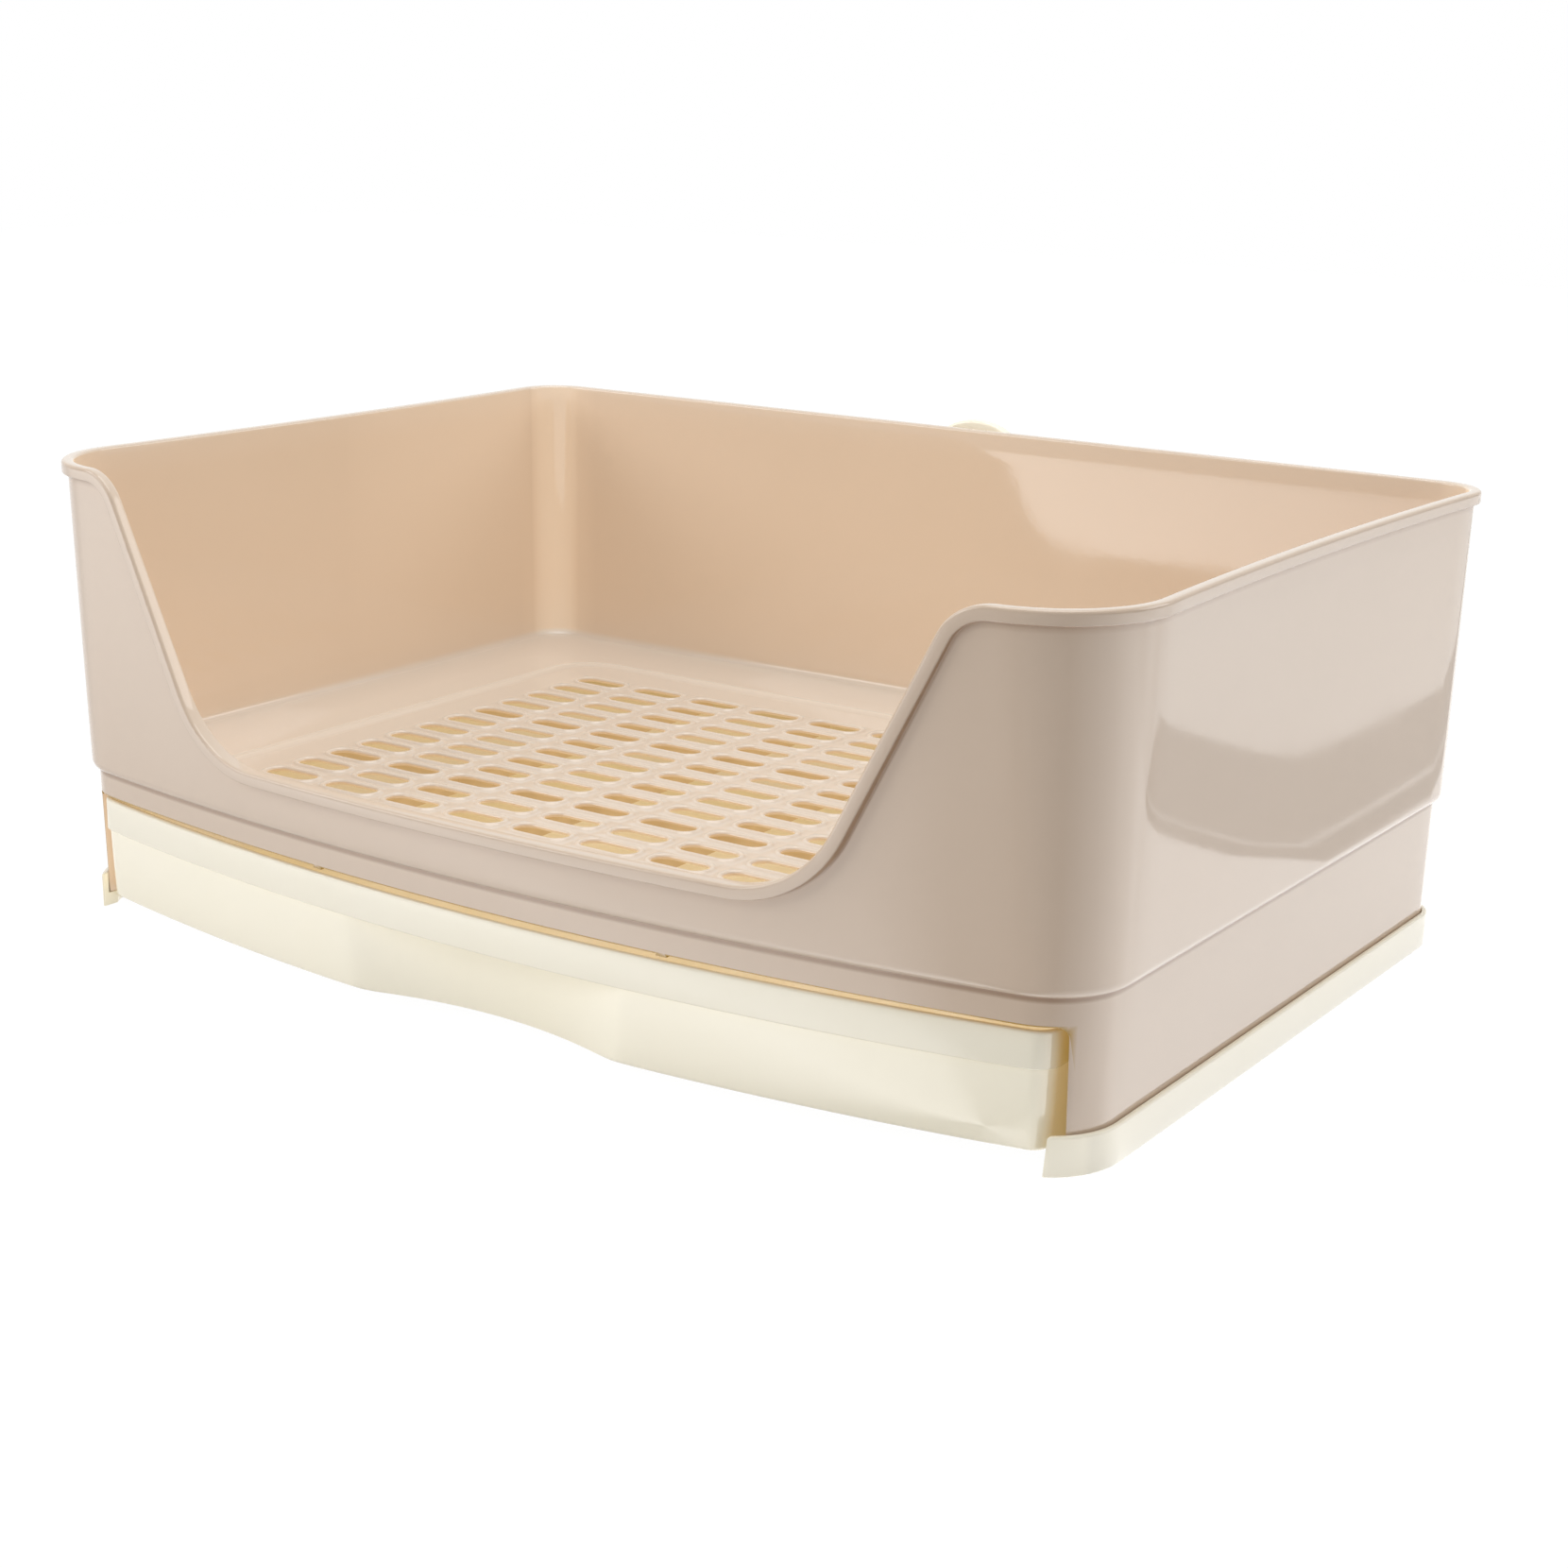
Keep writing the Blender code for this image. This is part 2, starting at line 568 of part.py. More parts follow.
def make_base(finish):
    foot = body_plan(0.0)
    outer = shrunk(foot, band_inset(0.0) - RAIL_PROUD)
    heel = shrunk(outer, RAIL_FOOT_WIDTH)
    under = BASE_FLOOR_TOP - BASE_FLOOR_THICKNESS
    socket_top = shrunk(foot, band_inset(RAIL_HEIGHT) - GAP)
    socket_foot = shrunk(foot, band_inset(BASE_FLOOR_TOP) - GAP)
    obj = add_part("base_tray", loft([ring(heel, under), ring(heel, 0.0), ring(outer, 0.0), ring(outer, RAIL_HEIGHT),
                                      ring(socket_top, RAIL_HEIGHT), ring(socket_foot, BASE_FLOOR_TOP)]), finish)
    mouth_rear = face_y(outer, MOUTH_HALF_WIDTH) + MOUTH_REACH / 2
    low, high = -RAIL_HEIGHT, 2 * RAIL_HEIGHT
    half_low, half_high = [MOUTH_HALF_WIDTH + MOUTH_FLARE * z / RAIL_HEIGHT for z in (low, high)]
    mouth = [(-half_low, low), (half_low, low), (half_high, high), (-half_high, high)]
    # The mouth is centred on the drawer
    cut(obj, upright(mouth, FRONT - OVERRUN, mouth_rear), "mouth").location.x = DRAWER_OFF_CENTRE
    return obj


def make_knob(finish):
    """Disc head on a shank that turns in the rear wall's boss, with a thumb bar on its back."""
    tip = REAR - wall_inset(KNOB_HEIGHT) + 2 * GAP
    back = KNOB_FACE + KNOB_DISC
    rounded = KNOB_RADIUS - KNOB_ROUND
    line = [(0.0, tip), (SHANK_RADIUS, tip), (SHANK_RADIUS, KNOB_FACE), (rounded, KNOB_FACE)]
    line += arc(rounded, KNOB_FACE + KNOB_ROUND, KNOB_ROUND, -pi / 2, 0.0, ROUND_SEGMENTS)
    line += [(KNOB_RADIUS, back - KNOB_ROUND)]
    line += arc(rounded, back - KNOB_ROUND, KNOB_ROUND, 0.0, pi / 2, ROUND_SEGMENTS) + [(0.0, back)]
    obj = add_part("clamp_knob", profile([(r, y, KNOB_HEIGHT) for r, y in line]), finish,
                   (0.0, KNOB_FACE, KNOB_HEIGHT))
    screw = obj.modifiers.new("turned", 'SCREW')
    screw.axis = 'Y'
    screw.steps = KNOB_SEGMENTS
    screw.render_steps = KNOB_SEGMENTS
    screw.use_merge_vertices = True
    screw.merge_threshold = MERGE_DISTANCE
    radius = THUMB_BAR_WIDTH / 2
    reach = THUMB_BAR_LENGTH / 2 - radius
    outline = arc(reach, KNOB_HEIGHT, radius, -pi / 2, pi / 2, 2 * ROUND_SEGMENTS)
    outline += arc(-reach, KNOB_HEIGHT, radius, pi / 2, 3 * pi / 2, 2 * ROUND_SEGMENTS)
    cut(obj, upright(outline, back - SINK, back + THUMB_BAR_HEIGHT), "thumb_bar", 'UNION')
    return obj


for old in list(bpy.data.objects):
    bpy.data.objects.remove(old, do_unlink=True)
parts = collection("small_animal_litter_tray")
cutters = collection("cutters")

beige = moulding("beige_polypropylene", (0.70, 0.58, 0.46), 0.28)
cream = moulding("cream_polypropylene", (0.87, 0.83, 0.68), 0.32)
for made_part in (make_base(cream), make_enclosure(beige), make_grate(beige), make_drawer(cream), make_knob(cream)):
    shade(made_part)
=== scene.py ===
"""Small animal litter tray: the moulded pieces as they look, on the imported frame, with camera and lights.

Metres, +Z up. The front faces -Y.
"""
from collections import namedtuple
from math import atan2, cos, pi, radians, sin, sqrt, tan

import bmesh
import bpy
from mathutils import Matrix, Vector


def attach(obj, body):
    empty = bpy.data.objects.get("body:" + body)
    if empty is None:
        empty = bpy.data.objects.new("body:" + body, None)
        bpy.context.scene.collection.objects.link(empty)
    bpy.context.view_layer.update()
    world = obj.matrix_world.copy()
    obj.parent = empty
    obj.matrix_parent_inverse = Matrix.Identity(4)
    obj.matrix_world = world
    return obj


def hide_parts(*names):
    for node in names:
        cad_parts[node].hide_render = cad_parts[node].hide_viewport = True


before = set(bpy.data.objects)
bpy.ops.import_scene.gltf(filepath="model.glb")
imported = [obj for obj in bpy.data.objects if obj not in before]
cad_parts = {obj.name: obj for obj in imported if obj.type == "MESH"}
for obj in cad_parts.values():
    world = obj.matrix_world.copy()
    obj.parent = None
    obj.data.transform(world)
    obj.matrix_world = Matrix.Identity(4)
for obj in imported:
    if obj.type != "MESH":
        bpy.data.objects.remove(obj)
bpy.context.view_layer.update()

# Whole enclosure and its plan, as in the frame
WIDTH = 0.420
DEPTH = 0.2998
RIM_HEIGHT = 0.1634
BOW_RADIUS_RIM = 1.36
BOW_RADIUS_FOOT = 1.05
FRONT_CORNER_RIM = 0.0375
FRONT_CORNER_FOOT = 0.0312
REAR_CORNER_RIM = 0.0190
REAR_CORNER_FOOT = 0.0200
SIDE_DRAWN_IN = 0.0033
KNOB_REACH = 0.0141

# Walls, lip and step
WALL = 0.0022
WALL_DRAFT = 0.0020
LIP_PROUD = 0.0020
LIP_WIDTH = 0.0042
LIP_HEIGHT = 0.0043
LIP_OUTER_ROUND = 0.0012
LIP_INNER_ROUND = 0.0010
LIP_UNDER_ROUND = 0.0004
LIP_FILLET = 0.0005
STEP_HEIGHT = 0.0533
STEP_LEDGE = 0.0025
STEP_ROUND = 0.0034
BAND_DRAFT = 0.0011
BAND_FOOT_ROUND = 0.0003
SKIRT_FOOT = 0.0049
SKIRT_LEVELS = (0.0528, 0.0522, 0.0512, 0.045, 0.030, 0.016, 0.009)
BAY_LEVELS = (0.016, 0.035)

# Rings down the wall, the first two close under the lip, and the painted shade that each ring from the rim
# down holds in the grooves under the lip and under the step
WALL_SHARES = (0.008, 0.02, 0.1, 0.25, 0.42, 0.6, 0.8)
PAINTED_GROOVE_SHADE = (0.0,) * 7 + (0.3, 0.7, 1.0, 1.0, 1.0, 0.9, 0.6, 0.25) + (0.0,) * 14 + (0.5, 1.0, 0.9)

# Scoop
SILL_HEIGHT = 0.0725
WING_WIDTH = 0.0455
SCOOP_ANGLE = radians(63.4)
SCOOP_FOOT_RADIUS = 0.0380
SCOOP_HEAD_RADIUS = 0.0170

# Floor ledge
FLOOR_TOP = 0.0556
FLOOR_THICKNESS = 0.0024
FLOOR_FALL = 0.0009
FLOOR_CORNER = 0.0230
FLOOR_FILLET = 0.0030
STRIP_SIDE = 0.0230
STRIP_REAR = 0.0215
STRIP_FRONT = 0.0030
STRIP_SOFTNESS = 0.0030

# Grate
GRATE_SIDE_MARGIN = 0.0430
GRATE_REAR_MARGIN = 0.0345
GRATE_FRONT_MARGIN = 0.0065
GRATE_CORNER = 0.0200
GRATE_THICKNESS = 0.0016
GRATE_RAISED = 0.0008
GRATE_FLANGE = 0.0040
FLANGE_EDGE = 0.0005
SEAT_MARGIN = 0.0012
BEAD_HEIGHT = 0.0010
BEAD_WIDTH = 0.0040
SLOT_COLUMNS = 10
SLOT_ROWS = 13
SLOT_PITCH_X = 0.0282
SLOT_PITCH_Y = 0.01585
SLOT_LENGTH = 0.0212
SLOT_WIDTH = 0.0084
FIRST_ROW_FROM_REAR = 0.0292
RIB_THICKNESS = 0.0018
RIB_DEPTH = 0.0061
RIB_MARGIN = 0.0120
RIB_COLUMNS = (2, 4, 6, 8)
RIB_ROWS = (4, 9)

# Rolled rim of a slot: how far out from the slot's edge, and how high over the grate's face. It starts
# below, where the rim is undercut.
ROLL = ((0.0015, -0.0013), (0.0005, -0.0007), (0.0, -0.0002), (0.0001, 0.0001), (0.0004, 0.0004),
        (0.0008, 0.00062), (0.0012, 0.00064), (0.0016, 0.0005), (0.0020, 0.0002), (0.0025, -0.0001))
ROLL_FOOT = 0.0019
ROLL_DIP = 0.0001

# Drawer's opening
OPENING_HEIGHT = 0.0443
OPENING_HALF_WIDTH = 0.1958
OPENING_ROUND = 0.0030
OPENING_REACH = 0.0600
STOP_SPREAD = 0.0700
STOP_WIDTH = 0.0040
STOP_DROP = 0.0007
EDGE_ROUND = 0.0004
CUT_EDGE_ANGLE = radians(55)

# Base tray
RAIL_HEIGHT = 0.0123
RAIL_PROUD = 0.0024
RAIL_FOOT_WIDTH = 0.0046
RAIL_ROUND = 0.0008
RAIL_FOOT_ROUND = 0.0006
BASE_FLOOR_TOP = 0.0046
BASE_FLOOR_THICKNESS = 0.0024
MOUTH_HALF_WIDTH = 0.1938
MOUTH_FLARE = 0.0008
MOUTH_REACH = 0.0300

# Drawer
DRAWER_TOP = 0.0420
DRAWER_HALF_WIDTH = 0.19335
DRAWER_OFF_CENTRE = -0.00185
DRAWER_BOW_RADIUS = 0.900
DRAWER_FRONT_CORNER = 0.0085
DRAWER_REAR_CORNER = 0.0120
DRAWER_REAR_MARGIN = 0.0200
DRAWER_WALL = 0.0022
DRAWER_DRAFT = 0.0010
DRAWER_TOP_ROUND = 0.0010
DRAWER_FOOT_ROUND = 0.0016
DRAWER_FLOOR_FILLET = 0.0030
COLLAR_HEIGHT = 0.0117
COLLAR_PROUD = 0.0009
COLLAR_ROUND = 0.0006
GRIP_HALF_WIDTH = 0.0600
GRIP_DEPTH = 0.0120
GRIP_SOFTNESS = 0.0012
GRIP_FINE_FROM = 0.05
GRIP_FINE_TO = 0.07
GRIP_REACH = 0.1
DRAWER_LEVELS = (0.012, 0.018, 0.024)
DRAWER_ROOM_LEVELS = (0.024, 0.016)

# Knob, boss and pad
KNOB_HEIGHT = 0.1406
KNOB_RADIUS = 0.0255
KNOB_DISC = 0.0045
KNOB_ROUND = 0.0012
THUMB_BAR_LENGTH = 0.0360
THUMB_BAR_WIDTH = 0.0080
THUMB_BAR_HEIGHT = 0.0060
SHANK_RADIUS = 0.0050
SHANK_CLEARANCE = 0.0003
BOSS_RADIUS = 0.0085
BOSS_STAND_OUT = 0.0033
PAD_WIDTH = 0.0760
PAD_HEIGHT = 0.0480
PAD_RIB = 0.0020
PAD_STAND_OUT = 0.0020
PAD_BELOW_LIP = 0.0006

# Gap between pieces, overrun of cutters and how deep joined shapes sink in
GAP = 0.0003
OVERRUN = 0.0100
SINK = 0.0010

# Strengths of the painted glow that stands in for light soaking through the plastic, against that of the inner
# walls. On the crests it is a painted highlight, on the floors a painted sheen, in the rear corners a painted
# bright band, and it fades along the rear wall as painted shade. The bay and the drawer's inside also get
# golden and brown painted shade.
CORNER_GLOW = 0.85
REAR_FADE = 0.5
BAY_SOAK = 1.2
CEILING_SOAK = 1.6
BAY_PAINTED_GOLD = 0.5
LINTEL_SOAK = 0.4
JAMB_SOAK = 1.6
RIB_SOAK = 0.8
SLOT_SOAK = 1.1
CREST_HIGHLIGHT = 0.95
FLOOR_SHEEN = 0.75
DRAWER_SOAK = 1.0
DRAWER_SHADE = 0.4
SKIN_SOAK = 0.35
RAIL_END_SOAK = 4 * SKIN_SOAK
KNOB_SOAK = 1.3 * SKIN_SOAK
CEILING_HALF_WIDTH_SHARE = 0.88
CEILING_HALF_DEPTH_SHARE = 0.4

# Camera: where it looks, from how far and at which angles
CAMERA_LOOK = Vector((-0.07341, 0.12695, 0.01067))
CAMERA_DISTANCE = 1.06995
CAMERA_AZIMUTH = radians(34.13018)
CAMERA_ELEVATION = radians(15.76311)
CAMERA_ROLL = radians(1.12702)
CAMERA_SENSOR = 36.0
CAMERA_LENS = 59.2811

HALF = WIDTH / 2
FRONT = -(DEPTH + KNOB_REACH) / 2
REAR = FRONT + DEPTH
SEAT_HEIGHT = FLOOR_TOP - FLOOR_FALL
FLANGE_FOOT = SEAT_HEIGHT + GAP
GRATE_TOP = SEAT_HEIGHT + GRATE_RAISED
GRATE_FOOT = GRATE_TOP - GRATE_THICKNESS
DRAWER_FOOT = BASE_FLOOR_TOP + GAP
KNOB_FACE = REAR + BOSS_STAND_OUT + GAP

Plan = namedtuple("Plan", "half front rear front_corner rear_corner bow drawn_in")


# Outlines seen from above
def blend(a, b, share):
    return a + (b - a) * share


def shares(count):
    return [i / count for i in range(count + 1)]


def shrunk(plan, inset):
    """The same outline moved inwards all round."""
    return Plan(plan.half - inset, plan.front + inset, plan.rear - inset, max(plan.front_corner - inset, GAP),
                max(plan.rear_corner - inset, GAP), plan.bow - inset, plan.drawn_in)


def face_y(plan, x):
    """Place of the bowed front at x."""
    return plan.front + plan.bow - sqrt(plan.bow ** 2 - x ** 2)


def corner_lean(plan):
    """Centre height of the front corner's fillet, and the angle at which it meets the bow."""
    across = plan.half - plan.front_corner
    centre_y = plan.front + plan.bow - sqrt((plan.bow - plan.front_corner) ** 2 - across ** 2)
    return centre_y, atan2(centre_y - plan.front - plan.bow, across)


def face_half(plan):
    """Half width of the bowed front, up to its corner fillets."""
    return plan.bow * cos(corner_lean(plan)[1])


def arc(centre_x, centre_y, radius, start, end, segments):
    """Points along an arc, without its first one."""
    angles = [blend(start, end, share) for share in shares(segments)[1:]]
    return [(centre_x + radius * cos(a), centre_y + radius * sin(a)) for a in angles]


def right_side(plan, corner=12, side=28, rear=20):
    """Points from the right end of the bowed front to the middle of the rear, without its first one."""
    centre_y, lean = corner_lean(plan)
    points = arc(plan.half - plan.front_corner, centre_y, plan.front_corner, lean, 0.0, corner)
    run = plan.rear - plan.rear_corner - centre_y
    for share in shares(side)[1:]:
        points.append((plan.half - plan.drawn_in * 4 * share * (1 - share), centre_y + run * share))
    rear_half = plan.half - plan.rear_corner
    points += arc(rear_half, plan.rear - plan.rear_corner, plan.rear_corner, 0.0, pi / 2, corner)
    return points + [(rear_half * (1 - share), plan.rear) for share in shares(rear)[1:]]


def quarter_turn(steps):
    return [pi / 2 * share for share in shares(steps)]


def ring(plan, z, face=None, plan_at=None):
    """Closed outline at one height, anticlockwise from the middle of the front.

    face may list (x, z) for the right half of the front, from its middle to its end, where the edge
    rises or falls; plan_at then gives the outline at each of those heights.
    """
    end = face_half(plan)
    if face is None:
        face = [(end * share, z) for share in shares(48)[:-1]]
    plan_at = plan_at or (lambda height: plan)
    right = [(x, face_y(plan_at(height), x), height) for x, height in face] + [(end, face_y(plan, end), z)]
    right += [(x, y, z) for x, y in right_side(plan)]
    left = [(-x, y, height) for x, y, height in reversed(right[1:-1])]
    return right + left


# Meshes
def mesh_from(shape, name):
    bmesh.ops.recalc_face_normals(shape, faces=shape.faces)
    mesh = bpy.data.meshes.new(name)
    shape.to_mesh(mesh)
    shape.free()
    return mesh


def new_row(shape, points):
    return [shape.verts.new(point) for point in points]


def skin(shape, low, high):
    """Band of faces between two rows of points."""
    for i, corner in enumerate(low):
        after = (i + 1) % len(low)
        shape.faces.new((corner, low[after], high[after], high[i]))


def loft(rings, closed=False, grooves=None):
    """Skin over rings of equal counts. Its first and last rings are joined, or else each is filled.

    grooves may give each ring's share of painted shade.
    """
    shape = bmesh.new()
    layer = shape.verts.layers.float.new("painted_shade")
    rows = [new_row(shape, points) for points in rings]
    for row, share in zip(rows, grooves or ()):
        for vertex in row:
            vertex[layer] = share
    for low, high in zip(rows, rows[1:] + rows[:1] if closed else rows[1:]):
        skin(shape, low, high)
    if not closed:
        shape.faces.new(list(reversed(rows[0])))
        shape.faces.new(rows[-1])
    return mesh_from(shape, "loft")


def box(low, high):
    shape = bmesh.new()
    bmesh.ops.create_cube(shape, size=1.0)
    for corner in shape.verts:
        corner.co = [low[i] if corner.co[i] < 0 else high[i] for i in range(3)]
    return mesh_from(shape, "box")


def drawn_out(outline, travel):
    """Flat outline drawn out by a vector."""
    shape = bmesh.new()
    face = shape.faces.new(new_row(shape, outline))
    made = bmesh.ops.extrude_face_region(shape, geom=[face])
    moved = [item for item in made["geom"] if isinstance(item, bmesh.types.BMVert)]
    bmesh.ops.translate(shape, verts=moved, vec=travel)
    return mesh_from(shape, "drawn_out")


def upright(outline, front, rear):
    """Solid along Y over an outline given as (x, z)."""
    return drawn_out([(x, front, z) for x, z in outline], (0.0, rear - front, 0.0))


def turned(profile, height, segments):
    """Solid turned about a line along Y, from a profile of (radius, y)."""
    angles = [2 * pi * share for share in shares(segments)[:-1]]
    return loft([[(r * cos(a), y, height + r * sin(a)) for a in angles] for r, y in profile])


# Objects
def new_object(name, mesh):
    obj = bpy.data.objects.new(name, mesh)
    bpy.context.scene.collection.objects.link(obj)
    return obj


def settled(obj):
    """Applies an object's modifiers and removes them."""
    bpy.context.view_layer.update()
    done = bpy.data.meshes.new_from_object(obj.evaluated_get(bpy.context.evaluated_depsgraph_get()))
    obj.modifiers.clear()
    obj.data = done
    return obj


def carve(obj, cuts):
    """Cuts or joins shapes, given as (mesh, operation), one after the other."""
    helpers = []
    for mesh, operation in cuts:
        helper = new_object("carving", mesh)
        helpers.append(helper)
        modifier = obj.modifiers.new("carving", 'BOOLEAN')
        modifier.operation = operation
        modifier.object = helper
        modifier.solver = 'EXACT'
    settled(obj)
    for helper in helpers:
        bpy.data.objects.remove(helper, do_unlink=True)
    return obj


def rounded(obj):
    """Rounds the outer edges that a cut left sharp. Inner edges stay crisp, as the moulding tool leaves them."""
    shape = bmesh.new()
    shape.from_mesh(obj.data)
    chosen = shape.edges.layers.float.new("bevel_weight_edge")
    for edge in shape.edges:
        edge[chosen] = float(len(edge.link_faces) == 2 and edge.calc_face_angle_signed() > CUT_EDGE_ANGLE)
    shape.to_mesh(obj.data)
    shape.free()
    modifier = obj.modifiers.new("rounded", 'BEVEL')
    modifier.width = EDGE_ROUND
    modifier.segments = 2
    modifier.limit_method = 'WEIGHT'
    modifier.use_clamp_overlap = False
    return settled(obj)


def dot_inwards(place, normal, middle):
    """How far a wall's face looks towards the middle of its piece: 1 straight at it, -1 away from it."""
    return -(normal.x * (place.x - middle[0]) / HALF + normal.y * (place.y - middle[1]) / (DEPTH / 2))


def mark(obj, name, share_at):
    """Writes a share for each vertex under a name: the painted glow that stands in for light soaking through the
    plastic, the golden painted shade and glow where light has passed through the most of it, the soft brown
    painted shade, or how far the surface looks up."""
    layer = obj.data.attributes.get(name) or obj.data.attributes.new(name, 'FLOAT', 'POINT')
    layer.data.foreach_set("value", [share_at(vertex.co, vertex.normal) for vertex in obj.data.vertices])


def finish_piece(obj, body, nodes, material, sharp=32):
    # How far each vertex looks up, which picks between the painted glow's tints for walls and for floors
    mark(obj, "level", lambda place, normal: max(0.0, normal.z))
    obj.data.materials.clear()
    obj.data.materials.append(material)
    obj.data.shade_smooth()
    obj.data.set_sharp_from_angle(angle=radians(sharp))
    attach(obj, body)
    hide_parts(*nodes)


# Heights and insets of the enclosure
def low_share(z):
    """0 at the rim, 1 at the step and below it."""
    return min(1.0, (RIM_HEIGHT - z) / (RIM_HEIGHT - STEP_HEIGHT))


def body_plan(z):
    """Outline at a height, at the lip's outer face."""
    share = low_share(z)
    return Plan(HALF, FRONT, REAR, blend(FRONT_CORNER_RIM, FRONT_CORNER_FOOT, share),
                blend(REAR_CORNER_RIM, REAR_CORNER_FOOT, share),
                1 / blend(1 / BOW_RADIUS_RIM, 1 / BOW_RADIUS_FOOT, share), SIDE_DRAWN_IN * (1 - share))


def wall_inset(z):
    """How far the wall's outer face stands in from the lip's, above the step."""
    return LIP_PROUD + WALL_DRAFT * (RIM_HEIGHT - z) / (RIM_HEIGHT - STEP_HEIGHT)


def band_inset(z):
    """The same for the skirt band, below the step."""
    return wall_inset(STEP_HEIGHT) + STEP_LEDGE + BAND_DRAFT * (STEP_HEIGHT - z) / STEP_HEIGHT


def wall_plan(z):
    return shrunk(body_plan(z), wall_inset(z))


def room_plan(z):
    """Inner face of the wall."""
    return shrunk(body_plan(z), blend(LIP_WIDTH, wall_inset(STEP_HEIGHT) + WALL, low_share(z)))


def floor_plan(side, rear, front, corner):
    """Outline on the floor, by its margins to the inner wall."""
    room = room_plan(FLOOR_TOP)
    return Plan(room.half - side, room.front + front, room.rear - rear, corner, corner, room.bow, 0.0)


def grate_plan():
    return floor_plan(GRATE_SIDE_MARGIN, GRATE_REAR_MARGIN, GRATE_FRONT_MARGIN, GRATE_CORNER)


def scoop_edge():
    """Right half of the rim's line over the front, from the middle outwards: (x, z, direction)."""
    head_x = HALF - WING_WIDTH
    foot_x = head_x - (RIM_HEIGHT - SILL_HEIGHT) / tan(SCOOP_ANGLE) - SCOOP_FOOT_RADIUS * tan(SCOOP_ANGLE / 2)
    end_x = head_x + SCOOP_HEAD_RADIUS * tan(SCOOP_ANGLE / 2)
    points = [(foot_x * share, SILL_HEIGHT, 0.0) for share in shares(20)]
    for share in shares(14)[1:]:
        turn = SCOOP_ANGLE * share
        points.append((foot_x + SCOOP_FOOT_RADIUS * sin(turn),
                       SILL_HEIGHT + SCOOP_FOOT_RADIUS * (1 - cos(turn)), turn))
    low_x, low_z, turn = points[-1]
    high_x = end_x - SCOOP_HEAD_RADIUS * sin(SCOOP_ANGLE)
    high_z = RIM_HEIGHT - SCOOP_HEAD_RADIUS * (1 - cos(SCOOP_ANGLE))
    for share in shares(12)[1:-1]:
        points.append((blend(low_x, high_x, share), blend(low_z, high_z, share), turn))
    for share in shares(12):
        turn = SCOOP_ANGLE * (1 - share)
        points.append((end_x - SCOOP_HEAD_RADIUS * sin(turn),
                       RIM_HEIGHT - SCOOP_HEAD_RADIUS * (1 - cos(turn)), turn))
    return points


